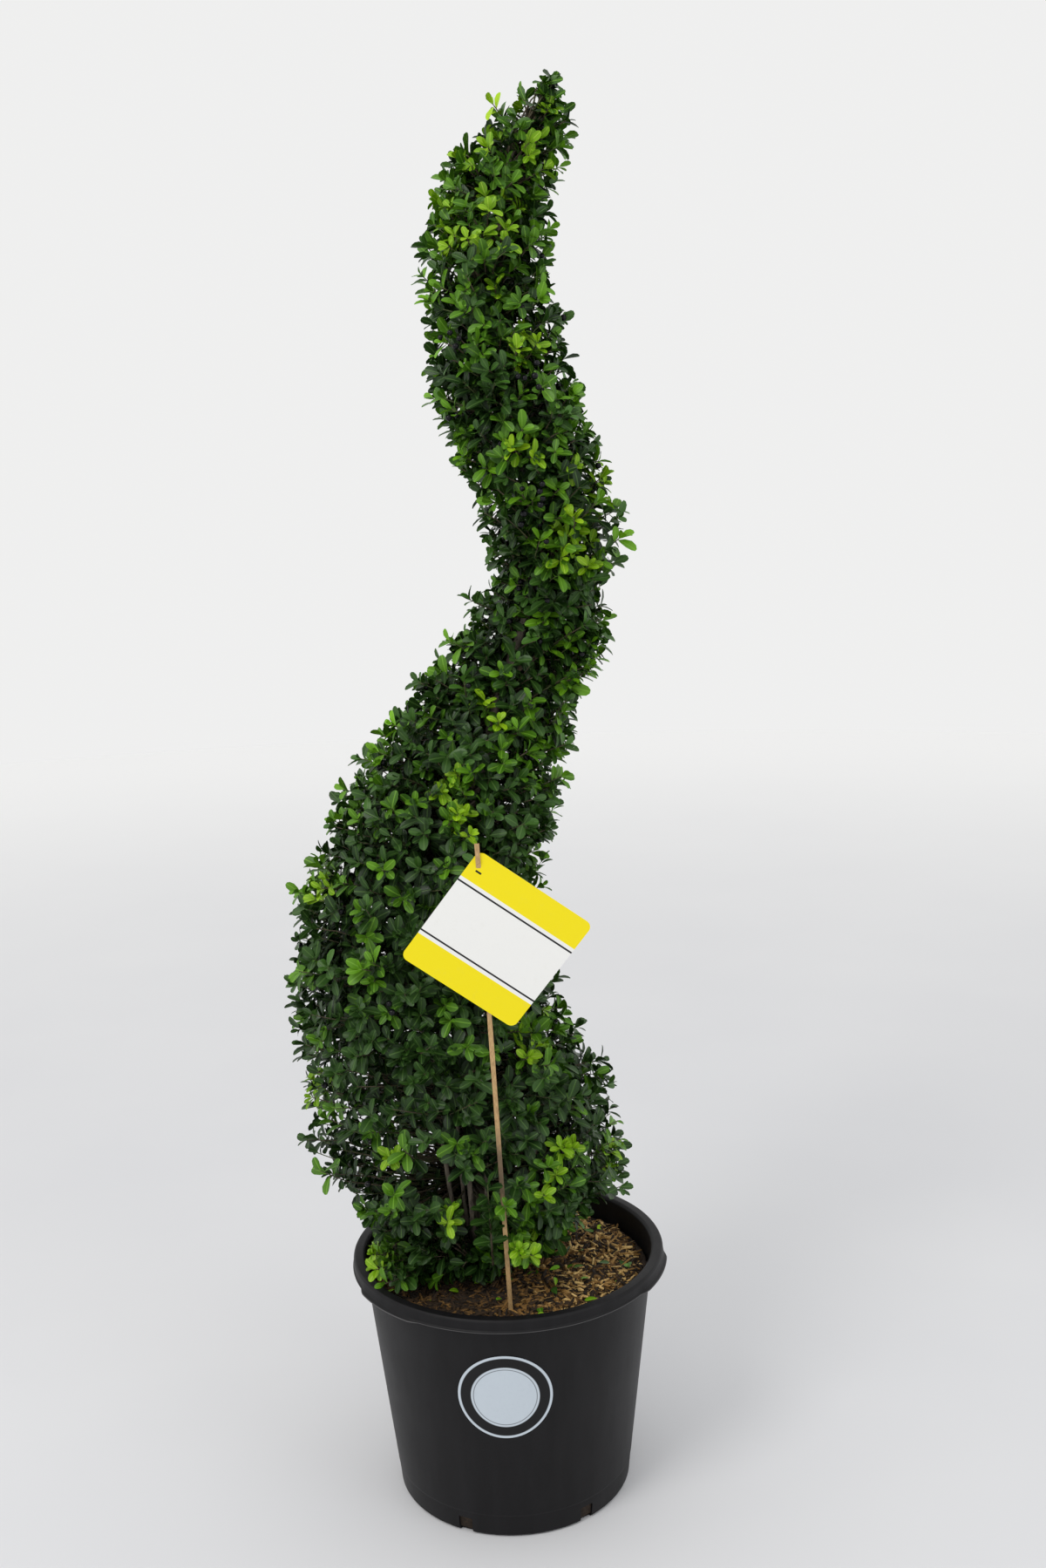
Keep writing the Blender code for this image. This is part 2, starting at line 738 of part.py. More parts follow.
def grow_spray(name, bearing, ceiling, lines, rng, parts):
    """A loose mass at the foot: a stem that goes on from its bough, with shoots to both sides."""
    line, radii = lines[name.replace("foliage", "bough")]
    outward = outwards(bearing)
    start = line[-1] + outward * GAP
    centre = trunk_point(SPRAY_BOUGH_START)
    reach = SPRAY_STEM_SHARE * reach_from(centre, outward, (ceiling + SPRAY_LOWEST) / 2)
    end = centre + reach * outward
    end.z = ceiling - SPRAY_STEM_DROP
    stem, stem_radii = bent_line(start, end, SPRAY_STEM_SAG, radii[-1], SHOOT_RADIUS)
    made = place(name, limb_mesh(stem, stem_radii, STEM_SIDES, foot_faces=outward), "foliage", parts)
    group = new_collection("joining")
    limits = math.radians(SPRAY_HALF_ANGLE)

    def fits(points):
        for point in points:
            away = Vector((point.x - centre.x, point.y - centre.y, 0))
            if away.angle(outward) > limits or not SPRAY_LOWEST < point.z < ceiling:
                return False
            in_reach_of_rim = math.hypot(point.x, point.y) > POT_SHOULDER - SPRAY_CLEAR_OF_POT
            if in_reach_of_rim and point.z < POT_HEIGHT + SPRAY_CLEAR_OF_POT:
                return False
            if outline_share(point) > OUTLINE_MOST:
                return False
        return not near_limb(points, lines)

    grown = 0
    for number in range(SPRAY_TRIES):
        spot = (SPRAY_BARE + (1 - SPRAY_BARE) * (number * GOLDEN_SHARE % 1)) * (len(stem) - 1)
        index = int(spot)
        root = stem[index].lerp(stem[index + 1], spot - index)
        way = outwards(bearing + SPRAY_SWING * rng.uniform(-1, 1))
        way.z = rng.uniform(*SPRAY_SLOPES)
        tip = root + way.normalized() * rng.uniform(*SPRAY_LENGTHS)
        grown += grow_shoot(root, tip, fits, rng, SPRAY_LEAF_SHARE * LEAF_LENGTH, group, 0.3, 2)
        if grown == SPRAY_SHOOTS:
            break
    join_mass(made, group, None)


def reach_from(centre, way, height):
    """How far the strand's outline is from a point, in one direction."""
    start = Vector((centre.x, centre.y, height))
    reach = 0
    while outline_share(start + way * reach) < 1:
        reach += REACH_STEP
    return reach


def make_stick(parts):
    """The label's split stick: a flat bar that leans forward, cut level at the soil."""
    bm = bmesh.new()
    bmesh.ops.create_cube(bm, size=1)
    bmesh.ops.scale(bm, vec=(STICK_WIDTH, STICK_DEPTH, 1), verts=bm.verts)
    for vert in bm.verts:
        base = STICK_TOP if vert.co.z > 0 else STICK_FOOT
        vert.co = base + Vector((vert.co.x, vert.co.y, 0))
    return place("label_stick", as_mesh(bm), "stick", parts)


def stick_at(height):
    """The stick's middle line at a height."""
    share = (height - STICK_FOOT.z) / (STICK_TOP.z - STICK_FOOT.z)
    return STICK_FOOT.lerp(STICK_TOP, share)


def card_frame():
    """The card's middle and the way it faces: it lies against the front of the leaning stick."""
    out = Vector((1, 0, 0)).cross(STICK_TOP - STICK_FOOT).normalized()
    middle = stick_at(CARD_HEIGHT) + out * (STICK_DEPTH / 2 + GAP + CARD_THICKNESS / 2)
    middle.x = CARD_ACROSS
    return middle, out


def make_card(parts):
    """A square card with round corners, hung by one corner and seen as a diamond."""
    middle, out = card_frame()
    bm = bmesh.new()
    bmesh.ops.create_cube(bm, size=1)
    bmesh.ops.scale(bm, vec=(CARD_SIDE, CARD_SIDE, CARD_THICKNESS), verts=bm.verts)
    upright = [e for e in bm.edges if abs(e.verts[0].co.z - e.verts[1].co.z) > CARD_THICKNESS / 2]
    bmesh.ops.bevel(
        bm, geom=upright, offset=CARD_CORNER, segments=4, profile=0.5, affect="EDGES", material=-1
    )
    bmesh.ops.rotate(bm, verts=bm.verts, matrix=Matrix.Rotation(math.radians(-CARD_TURN), 3, "Z"))
    turn = Vector((0, 0, 1)).rotation_difference(out).to_matrix()
    bmesh.ops.rotate(bm, verts=bm.verts, matrix=turn)
    bmesh.ops.translate(bm, vec=middle, verts=bm.verts)
    return place("label_card", as_mesh(bm), "card", parts)


def label_lines():
    """The stick and the card as lines that shoots and leaves keep clear of."""
    middle, _ = card_frame()
    lines = {"stick": ([STICK_FOOT, STICK_TOP], [STICK_WIDTH / 2] * 2)}
    half = CARD_SIDE / math.sqrt(2)
    for number in range(-CARD_BANDS, CARD_BANDS + 1):
        rise = number * half / (CARD_BANDS + 1)
        wide = half - abs(rise)
        start = stick_at(middle.z + rise)
        ends = [start + Vector((-wide, 0, 0)), start + Vector((wide, 0, 0))]
        lines[f"card_{number}"] = (ends, [CARD_CLEARANCE] * 2)
    return lines


def main():
    clear_scene()
    parts = new_collection("potted_japanese_holly")
    cutters = new_collection("cutters")
    rng = random.Random(SEED)
    make_pot(parts, cutters)
    make_sticker(parts, cutters)
    make_soil(parts)
    make_stick(parts)
    make_card(parts)
    limbs, swollen = make_limbs(parts, cutters)
    lines = {**limbs, **label_lines()}
    high = CROWN_TIP
    for name, low in CLIPPED:
        grow_clipped(name, low, high, lines, swollen, rng, parts)
        high = low
    for name, bearing, ceiling in SPRAYS:
        grow_spray(name, bearing, ceiling, lines, rng, parts)


main()
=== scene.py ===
# %% [markdown]
# A Japanese holly, clipped as a spiral, stands in its nursery pot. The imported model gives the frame:
# every solid in it sits where the real piece does. This lesson dresses that frame. Each solid is
# swapped for a finer piece in the same place, so nothing has to be fitted by eye.

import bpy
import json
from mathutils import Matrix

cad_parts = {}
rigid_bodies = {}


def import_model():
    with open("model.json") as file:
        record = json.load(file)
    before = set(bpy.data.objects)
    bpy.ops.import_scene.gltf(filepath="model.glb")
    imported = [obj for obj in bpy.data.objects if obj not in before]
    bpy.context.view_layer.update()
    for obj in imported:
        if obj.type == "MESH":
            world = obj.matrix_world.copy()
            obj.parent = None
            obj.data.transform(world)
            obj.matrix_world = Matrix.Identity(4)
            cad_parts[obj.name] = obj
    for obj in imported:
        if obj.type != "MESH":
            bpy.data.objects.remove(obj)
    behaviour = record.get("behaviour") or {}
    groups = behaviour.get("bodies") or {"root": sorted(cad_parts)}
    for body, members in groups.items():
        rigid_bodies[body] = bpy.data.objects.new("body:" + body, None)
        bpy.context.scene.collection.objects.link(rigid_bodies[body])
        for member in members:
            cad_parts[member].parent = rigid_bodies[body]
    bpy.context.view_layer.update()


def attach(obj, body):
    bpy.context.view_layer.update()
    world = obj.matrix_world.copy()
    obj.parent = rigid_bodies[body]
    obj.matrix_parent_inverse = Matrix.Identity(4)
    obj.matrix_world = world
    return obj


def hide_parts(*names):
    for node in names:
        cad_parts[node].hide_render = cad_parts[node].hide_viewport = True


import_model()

# %% [markdown]
# The rest of the tools are Blender's own modules and numpy. Random numbers come from one seeded
# generator, so that each run grows the same plant.

# %% Modules and seed
import json
import math

import bmesh
import bpy
import numpy as np
from mathutils import Matrix, Vector, noise

rng = np.random.default_rng(27)
UP = Vector((0, 0, 1))

# %% [markdown]
# Materials are sums and products of noise. Written as nodes they are long, so one small class wraps
# a socket that carries a number. With it, 1 - mask * 0.5 adds its own Math nodes.

# %% Shader maths
class Number:
    """A socket that carries a number, with Python's operators."""

    def __init__(self, finish, socket):
        self.finish = finish
        self.socket = socket

    def then(self, operation, first, second=0.0):
        """A Math node's result."""
        sockets = {0: first, 1: second}
        made = self.finish.node("ShaderNodeMath", {"operation": operation}, sockets)
        return Number(self.finish, made.outputs[0])

    def __add__(self, other):
        return self.then("ADD", self, other)

    def __radd__(self, other):
        return self.then("ADD", other, self)

    def __sub__(self, other):
        return self.then("SUBTRACT", self, other)

    def __rsub__(self, other):
        return self.then("SUBTRACT", other, self)

    def __mul__(self, other):
        return self.then("MULTIPLY", self, other)

    def __rmul__(self, other):
        return self.then("MULTIPLY", other, self)

    def soft(self, low, high):
        """Rises smoothly from nought at low to one at high."""
        settings = {"interpolation_type": "SMOOTHSTEP"}
        sockets = {"Value": self, "From Min": low, "From Max": high}
        made = self.finish.node("ShaderNodeMapRange", settings, sockets)
        return Number(self.finish, made.outputs[0])

    def most(self, other):
        return self.then("MAXIMUM", self, other)

    def size(self):
        return self.then("ABSOLUTE", self)

    def root(self):
        return self.then("SQRT", self)

    def wave(self):
        """Swings between nought and one, once for each whole number."""
        return self.then("SINE", self * math.tau) * 0.5 + 0.5


class Finish:
    """A material under construction."""

    def __init__(self, name, roughness, **constants):
        self.material = bpy.data.materials.new(name)
        self.material.use_nodes = True
        self.tree = self.material.node_tree
        self.shader = self.tree.nodes["Principled BSDF"]
        self.shader.inputs["Roughness"].default_value = roughness
        for socket, value in constants.items():
            self.shader.inputs[socket.replace("_", " ")].default_value = value

    def node(self, kind, settings, sockets):
        """Any node: its settings are made first, and then its sockets are set or linked."""
        made = self.tree.nodes.new(kind)
        for key, value in settings.items():
            if key == "stops":
                self.set_stops(made.color_ramp, value)
            else:
                setattr(made, key, value)
        for key, value in sockets.items():
            self.put(made.inputs[key], value)
        return made

    def set_stops(self, ramp, stops):
        """Gives a colour ramp its stops."""
        while len(ramp.elements) < len(stops):
            ramp.elements.new(1.0)
        for element, (place, colour) in zip(ramp.elements, stops):
            element.position = place
            element.color = (*colour, 1)

    def put(self, socket, value):
        """Sets a socket to a constant, or links it."""
        if isinstance(value, Number):
            value = value.socket
        if isinstance(value, bpy.types.NodeSocket):
            self.tree.links.new(value, socket)
        elif isinstance(value, tuple) and len(value) == 3 and socket.type == "RGBA":
            socket.default_value = (*value, 1)
        else:
            socket.default_value = value

    def place(self, stretch=(1, 1, 1), turn=(0, 0, 0)):
        """Object coordinates, stretched and turned."""
        source = self.node("ShaderNodeTexCoord", {}, {})
        sockets = {"Vector": source.outputs["Object"], "Scale": stretch, "Rotation": turn}
        return self.node("ShaderNodeMapping", {}, sockets).outputs[0]

    def noise(self, where, scale, detail=3.0, rough=0.5):
        """Smooth noise from nought to one."""
        sockets = {"Vector": where, "Scale": scale, "Detail": detail, "Roughness": rough}
        return Number(self, self.node("ShaderNodeTexNoise", {}, sockets).outputs[0])

    def cells(self, where, scale):
        """The distance to the nearest of scattered points."""
        made = self.node("ShaderNodeTexVoronoi", {}, {"Vector": where, "Scale": scale})
        return Number(self, made.outputs["Distance"])

    def attribute(self, name):
        """A number that the mesh itself carries."""
        made = self.node("ShaderNodeAttribute", {"attribute_name": name}, {})
        return Number(self, made.outputs["Fac"])

    def flat_place(self):
        """The two numbers of the piece's own UV map."""
        source = self.node("ShaderNodeUVMap", {"uv_map": "UVMap"}, {})
        made = self.node("ShaderNodeSeparateXYZ", {}, {0: source.outputs[0]})
        return Number(self, made.outputs[0]), Number(self, made.outputs[1])

    def height(self, name=2):
        """One of the object's own coordinates as a number."""
        source = self.node("ShaderNodeTexCoord", {}, {})
        made = self.node("ShaderNodeSeparateXYZ", {}, {0: source.outputs["Object"]})
        return Number(self, made.outputs[name])

    def off_axis(self):
        """The distance from the upright middle line of the pot."""
        across, along = self.height(0), self.height(1)
        return (across * across + along * along).root()

    def ramp(self, value, stops):
        """A colour that follows a number."""
        return self.node("ShaderNodeValToRGB", {"stops": stops}, {0: value}).outputs[0]

    def mix(self, share, first, second, blend="MIX"):
        """Two colours mixed by a share."""
        settings = {"data_type": "RGBA", "blend_type": blend}
        return self.node("ShaderNodeMix", settings, {0: share, 6: first, 7: second}).outputs[2]

    def colour(self, value):
        self.put(self.shader.inputs["Base Color"], value)

    def rough(self, value):
        self.put(self.shader.inputs["Roughness"], value)

    def bump(self, value, depth, strength=1.0):
        """Relief too fine for the mesh: depth is its height in metres."""
        sockets = {"Height": value, "Distance": depth, "Strength": strength}
        made = self.node("ShaderNodeBump", {}, sockets)
        self.put(self.shader.inputs["Normal"], made.outputs[0])


print("shader maths ready")

# %% [markdown]
# The pot is blow-moulded black plastic: nearly matt, with a fine stipple, some long flow lines and a
# little dust near its foot. A single dark colour would look like a hole in the picture, so the
# roughness and the bump do most of the work.

# %% Pot plastic
# Heights of a painted highlight: a paler line along the lower edge of the rim's bead.
BEAD_HIGHLIGHT_LOW = (0.2815, 0.2819)
BEAD_HIGHLIGHT_HIGH = (0.2828, 0.2834)


def pot_plastic():
    made = Finish("pot_plastic", 0.5, Specular_IOR_Level=0.19)
    where = made.place()
    flow = made.noise(made.place(stretch=(1, 1, 0.12)), 60, 4)
    cloud = made.noise(where, 9, 4)
    specks = made.noise(where, 1400, 2)
    dust = (made.noise(where, 160, 5, 0.7) - 0.5) * 3
    low = 1 - made.height().soft(0.0, 0.10)
    dusty = (dust * low).soft(0.25, 1.0) * 0.45 + cloud.soft(0.55, 0.9) * 0.12
    plastic = made.ramp(flow, ((0.3, (0.0046, 0.0043, 0.0050)), (0.7, (0.0078, 0.0074, 0.0085))))
    plastic = made.mix(dusty, plastic, (0.034, 0.032, 0.030))
    height = made.height()
    # Painted highlight: a paler line where light catches the bead's lower edge, on the outer skirt
    # only.
    edge = height.soft(*BEAD_HIGHLIGHT_LOW) * (1 - height.soft(*BEAD_HIGHLIGHT_HIGH))
    outside = made.off_axis().soft(0.1865, 0.1872)
    made.colour(made.mix(edge * outside * (0.3 + cloud * 0.7), plastic, (0.120, 0.118, 0.120)))
    made.rough(0.38 + cloud * 0.22 + dusty * 0.3)
    made.bump(specks * 0.6 + flow * 0.9, 0.00025)
    return made.material


POT_FINISH = pot_plastic()
print("finish:", POT_FINISH.name)

# %% [markdown]
# Holly leaves have a waxy coat over dark green, a paler midrib and faint side veins. Each leaf has
# its own UV map, where the first number crosses the leaf and the second runs from root to tip, so
# the veins follow it. A number called tone is dealt to each leaf, so that no two are quite alike,
# and it is lowered for leaves deep inside the crown as painted shade.

# %% Leaf finishes
def leaf_finish(name, dark, light, roughness, midrib):
    made = Finish(name, roughness, Specular_IOR_Level=0.27)
    across, along = made.flat_place()
    tone = made.attribute("tone")
    off_rib = (across - 0.5).size()
    rib = 1 - off_rib.soft(0.02, 0.09)
    where = made.place()
    cloud = made.noise(where, 45, 3)
    grain = made.noise(where, 700, 2)
    veins = (along * 9 - off_rib * 4).wave()
    blend = tone * 0.75 + cloud * 0.35 - 0.05
    blade = made.ramp(blend, ((0.05, dark), (0.95, light)))
    made.colour(made.mix(rib * 0.55, blade, midrib))
    made.rough(roughness + 0.16 * cloud - 0.08)
    made.bump(grain * 0.5 + rib * 0.8 + veins * 0.25, 0.0003)
    return made.material


OLD_LEAF = leaf_finish(
    "leaf_old", (0.003, 0.012, 0.003), (0.070, 0.190, 0.022), 0.36, (0.09, 0.18, 0.04)
)
FRESH_LEAF = leaf_finish(
    "leaf_fresh", (0.016, 0.065, 0.004), (0.190, 0.450, 0.012), 0.40, (0.20, 0.42, 0.04)
)
YOUNG_LEAF = leaf_finish(
    "leaf_young", (0.100, 0.250, 0.003), (0.370, 0.590, 0.010), 0.44, (0.42, 0.62, 0.06)
)
LEAF_FINISHES = (OLD_LEAF, FRESH_LEAF, YOUNG_LEAF)
print("finishes:", [finish.name for finish in LEAF_FINISHES])

# %% [markdown]
# Wood shows in three forms: grey-brown bark with upright cracks and small pale pores, greener
# bark on the young twigs, and the split tan stick of the label, whose fibres run lengthwise.

# %% Wood finishes
def bark_finish():
    made = Finish("bark", 0.85)
    cracks = made.noise(made.place(stretch=(1, 1, 0.22)), 260, 5, 0.65)
    pores = 1 - made.cells(made.place(stretch=(1, 1, 1.8)), 170).soft(0.10, 0.26)
    patches = made.noise(made.place(), 32, 4)
    wood = made.ramp(cracks, ((0.28, (0.060, 0.048, 0.036)), (0.72, (0.260, 0.220, 0.170))))
    wood = made.mix(patches.soft(0.5, 0.75) * 0.6, wood, (0.105, 0.112, 0.072))
    made.colour(made.mix(pores * 0.35, wood, (0.27, 0.23, 0.18)))
    made.rough(0.75 + 0.2 * cracks)
    made.bump(cracks + pores * 0.3, 0.0012)
    return made.material


def twig_finish():
    made = Finish("twig_bark", 0.7)
    lines = made.noise(made.place(stretch=(1, 1, 0.4)), 420, 3)
    patches = made.noise(made.place(), 28, 3)
    brown = made.ramp(lines, ((0.3, (0.035, 0.026, 0.015)), (0.75, (0.120, 0.088, 0.050))))
    made.colour(made.mix(patches.soft(0.46, 0.62) * 0.8, brown, (0.070, 0.105, 0.022)))
    made.bump(lines, 0.0003)
    return made.material


STAIN_LOW = (0.37, 0.42)
STAIN_HIGH = (0.47, 0.52)


def stick_finish():
    made = Finish("stick_wood", 0.62)
    fibres = made.noise(made.place(stretch=(1, 1, 0.03)), 1500, 4, 0.6)
    stains = made.noise(made.place(stretch=(1, 1, 0.5)), 60, 4)
    wood = made.ramp(fibres, ((0.3, (0.30, 0.175, 0.070)), (0.7, (0.60, 0.40, 0.185))))
    height = made.height()
    wet = height.soft(*STAIN_LOW) * (1 - height.soft(*STAIN_HIGH)) * stains.soft(0.20, 0.48)
    wood = made.mix(stains.soft(0.55, 0.8) * 0.6, wood, (0.17, 0.095, 0.040))
    made.colour(made.mix(wet * 0.8, wood, (0.055, 0.040, 0.028)))
    made.rough(0.5 + 0.25 * fibres)
    made.bump(fibres, 0.0004)
    return made.material


BARK = bark_finish()
TWIG_BARK = twig_finish()
STICK_WOOD = stick_finish()
print("finishes:", BARK.name, TWIG_BARK.name, STICK_WOOD.name)

# %% [markdown]
# The potting soil is a loose mix of shredded bark and coir. Its ground colour is nearly black
# where it is wet, and each chip on top takes its own brown from the number that it carries.

# %% Soil and fruit finishes
def soil_finish():
    made = Finish("soil_ground", 0.95)
    where = made.place()
    grains = made.noise(where, 420, 6, 0.7)
    damp = made.noise(where, 18, 3)
    earth = made.ramp(grains, ((0.3, (0.010, 0.006, 0.003)), (0.7, (0.075, 0.042, 0.020))))
    made.colour(made.mix(damp.soft(0.4, 0.7) * 0.6, earth, (0.014, 0.009, 0.005)))
    made.bump(grains, 0.003)
    return made.material


def chip_finish():
    made = Finish("soil_chips", 0.9)
    tone = made.attribute("tone")
    fibres = made.noise(made.place(), 520, 4, 0.7)
    stops = (
        (0.0, (0.007, 0.004, 0.002)),
        (0.40, (0.045, 0.022, 0.006)),
        (0.68, (0.310, 0.160, 0.036)),
        (1.0, (0.900, 0.620, 0.240)),
    )
    made.colour(made.ramp(tone * 0.95 + fibres * 0.4 - 0.16, stops))
    made.bump(fibres, 0.0012)
    return made.material


def fruit_finish():
    made = Finish("fruit_skin", 0.22, Specular_IOR_Level=0.16, Coat_Weight=0.08, Coat_Roughness=0.08)
    bloom = made.noise(made.place(), 260, 3)
    made.colour(made.ramp(bloom, ((0.35, (0.002, 0.002, 0.003)), (0.75, (0.006, 0.006, 0.008)))))
    made.rough(0.14 + 0.20 * bloom)
    made.bump(made.noise(made.place(), 1500, 2), 0.0001)
    return made.material


SOIL_GROUND = soil_finish()
SOIL_CHIPS = chip_finish()
FRUIT_SKIN = fruit_finish()
print("finishes:", SOIL_GROUND.name, SOIL_CHIPS.name, FRUIT_SKIN.name)

# %% [markdown]
# Two printed labels come with the plant. Neither carries its maker's design here: the round one on
# the pot is a pale disc with plain dark rings, and the card is white with plain yellow bands. Both
# patterns are drawn in the piece's own UV map, from its middle, in shares of its half width.

# %% Printed finishes
PAPER = (0.80, 0.80, 0.78)
YELLOW = (0.84, 0.70, 0.006)
INK = (0.008, 0.008, 0.009)
DISC_GREY = (0.52, 0.58, 0.64)
CARD_SLOT = (0.091, 0.860)
SLOT_HALF_WIDTH = (0.022, 0.026)
SLOT_HALF_LENGTH = (0.006, 0.009)


def disc_finish():
    made = Finish("disc_print", 0.38, Specular_IOR_Level=0.2)
    across, along = made.flat_place()
    away = 2 * ((across - 0.5) * (across - 0.5) + (along - 0.5) * (along - 0.5)).root()
    ring = away.soft(0.715, 0.735) * (1 - away.soft(0.935, 0.955))
    line = away.soft(0.655, 0.665) * (1 - away.soft(0.675, 0.685))
    scuff = made.noise(made.place(), 220, 5, 0.7)
    paper = made.mix(scuff.soft(0.45, 0.8) * 0.25, DISC_GREY, (0.42, 0.48, 0.55))
    made.colour(made.mix(ring.most(line * 0.6), paper, INK))
    made.rough(0.32 + 0.2 * scuff)
    made.bump(scuff, 0.0001)
    return made.material


def card_finish():
    made = Finish("card_print", 0.3, Specular_IOR_Level=0.2, Coat_Weight=0.05)
    across, along = made.flat_place()
    band = (along - 0.5).size()
    yellow = band.soft(0.268, 0.272)
    line = band.soft(0.226, 0.230) * (1 - band.soft(0.240, 0.244))
    paper = made.mix(yellow, PAPER, YELLOW)
    paper = made.mix(line, paper, INK)
    slot_across = 1 - ((across - CARD_SLOT[0]).size()).soft(*SLOT_HALF_WIDTH)
    slot_along = 1 - ((along - CARD_SLOT[1]).size()).soft(*SLOT_HALF_LENGTH)
    paper = made.mix(slot_across * slot_along, paper, INK)
    scuff = made.noise(made.place(), 90, 4, 0.7)
    made.colour(made.mix(scuff.soft(0.55, 0.85) * 0.12, paper, (0.45, 0.42, 0.30)))
    made.rough(0.24 + 0.22 * scuff)
    made.bump(scuff, 0.0002)
    return made.material


DISC_PRINT = disc_finish()
CARD_PRINT = card_finish()
print("finishes:", DISC_PRINT.name, CARD_PRINT.name)

# %% [markdown]
# A finished piece is a mesh with its place in its vertices. It rides on the object's one body,
# takes its finishes, and hides the solids that it stands for.

# %% Helpers that make a piece
def mesh_of(bm, name):
    """Turns a bmesh into a mesh with faces that point out."""
    bmesh.ops.recalc_face_normals(bm, faces=bm.faces)
    mesh = bpy.data.meshes.new(name)
    bm.to_mesh(mesh)
    bm.free()
    return mesh


def finish_piece(name, mesh, finishes, nodes, sharp=None):
    """Makes the object with its finishes, rides it on the one body, and hides the solids that it
    stands for.
    """
    mesh.name = name
    made = bpy.data.objects.new(name, mesh)
    bpy.context.scene.collection.objects.link(made)
    for finish in finishes:
        mesh.materials.append(finish)
    mesh.polygons.foreach_set("use_smooth", np.ones(len(mesh.polygons), bool))
    if sharp is not None:
        mesh.set_sharp_from_angle(angle=math.radians(sharp))
    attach(made, "root")
    if nodes:
        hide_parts(*nodes)
    return made


def cut(made, cutter):
    """Takes the cutter out of the piece, and bakes the result into its mesh."""
    step = made.modifiers.new("cut", "BOOLEAN")
    step.operation = "DIFFERENCE"
    step.solver = "EXACT"
    step.object = cutter
    bpy.context.view_layer.update()
    graph = bpy.context.evaluated_depsgraph_get()
    mesh = bpy.data.meshes.new_from_object(made.evaluated_get(graph))
    made.modifiers.clear()
    made.data = mesh
    bpy.data.objects.remove(cutter)
    return mesh


def lathe(profile, steps):
    """A closed bmesh turned from a profile that starts and ends on the axis."""
    bm = bmesh.new()
    corners = [bm.verts.new((radius, 0, height)) for radius, height in profile]
    for first, second in zip(corners, corners[1:]):
        bm.edges.new((first, second))
    geometry = [*bm.verts, *bm.edges]
    turn = {"axis": (0, 0, 1), "angle": math.tau, "steps": steps, "use_merge": True}
    bmesh.ops.spin(bm, geom=geometry, **turn)
    bmesh.ops.remove_doubles(bm, verts=bm.verts, dist=1e-5)
    return bm


def rounded(corners, radius, segments=4):
    """Rounds the corners of a profile, given as radius and height, by short arcs."""
    out = [corners[0]]
    for before, here, after in zip(corners, corners[1:], corners[2:]):
        here_v = Vector(here)
        back = Vector(before) - here_v
        on = Vector(after) - here_v
        reach = min(radius, back.length * 0.45, on.length * 0.45)
        start = here_v + back.normalized() * reach
        end = here_v + on.normalized() * reach
        for number in range(segments + 1):
            share = number / segments
            first = start.lerp(here_v, share)
            out.append(tuple(first.lerp(here_v.lerp(end, share), share)))
    out.append(corners[-1])
    return out


print("helpers ready")

# %% [markdown]
# The pot is one turned shape: a tapered wall, and a rim that turns outwards and down into a skirt
# with a fine bead along its lower edge. Spin turns the profile in one step. The three finger grips
# are the skirt pushed outwards over a short arc, and the drain notches are cut from the foot.

# %% Pot
POT_HEIGHT = 0.297
POT_FOOT = 0.142
POT_SHOULDER = 0.1765
POT_RIM = 0.190
POT_WALL = 0.0025
RIM_DEPTH = 0.015
RIM_EDGE = 0.003
FLOOR = 0.004
POT_STEPS = 180
GRIP_BEARINGS = (221, 341, 101)
GRIP_SPAN = 34
GRIP_REACH = 0.0040
NOTCH_COUNT = 6
NOTCH_FIRST = 6
NOTCH_WIDTH = 0.017
NOTCH_HEIGHT = 0.020


def wall_radius(height):
    """The pot's outer radius at a height on its wall."""
    return POT_FOOT + (POT_SHOULDER - POT_FOOT) * height / (POT_HEIGHT - RIM_EDGE)


def pot_profile():
    """The pot's section, from the middle of its floor over the rim to the middle underneath."""
    inside = wall_radius(POT_HEIGHT) - POT_WALL
    skirt = POT_HEIGHT - RIM_DEPTH
    under = POT_HEIGHT - 2 * RIM_EDGE
    bead = 0.0012
    corners = [
        (0, FLOOR),
        (wall_radius(FLOOR) - POT_WALL, FLOOR),
        (inside - 0.0012, POT_HEIGHT - 0.020),
        (inside, POT_HEIGHT - RIM_EDGE),
        (inside + RIM_EDGE, POT_HEIGHT),
        (POT_RIM - RIM_EDGE, POT_HEIGHT),
        (POT_RIM - bead, POT_HEIGHT - RIM_EDGE),
        (POT_RIM - bead, skirt + 2.5 * bead),
        (POT_RIM, skirt + 1.5 * bead),
        (POT_RIM, skirt),
        (POT_RIM - POT_WALL, skirt),
        (POT_RIM - POT_WALL, under),
        (wall_radius(under), under),
        (wall_radius(0.030), 0.030),
        (wall_radius(0.028) - 0.0004, 0.028),
        (wall_radius(RIM_EDGE), RIM_EDGE),
        (POT_FOOT - RIM_EDGE, 0),
        (0, 0),
    ]
    return rounded(corners, 0.0012)


def grip_push(bearing, height):
    """How far the skirt stands out at a bearing and height."""
    push = 0
    for middle in GRIP_BEARINGS:
        off = abs((bearing - middle + 180) % 360 - 180) / (GRIP_SPAN / 2)
        if off < 1:
            ease = min(1, (1 - off) * 5)
            push = ease * ease * (3 - 2 * ease)
    low = POT_HEIGHT - RIM_DEPTH
    lift = max(0, 1 - max(0, height - low) / (RIM_DEPTH * 0.62))
    return push * lift * lift * GRIP_REACH


def make_pot():
    bm = lathe(pot_profile(), POT_STEPS)
    for vert in bm.verts:
        radius = vert.co.xy.length
        if radius > POT_RIM - POT_WALL * 1.2:
            bearing = math.degrees(math.atan2(vert.co.y, vert.co.x))
            push = 1 + grip_push(bearing, vert.co.z) / radius
            vert.co.x *= push
            vert.co.y *= push
    pot = bpy.data.objects.new("pot_shell", mesh_of(bm, "pot_shell"))
    bpy.context.scene.collection.objects.link(pot)
    for number in range(NOTCH_COUNT):
        mesh = cut(pot, make_notch(math.radians(NOTCH_FIRST + number * 360 / NOTCH_COUNT)))
    bpy.data.objects.remove(pot)
    return finish_piece("pot_shell", mesh, [POT_FINISH], ["pot"], sharp=40)


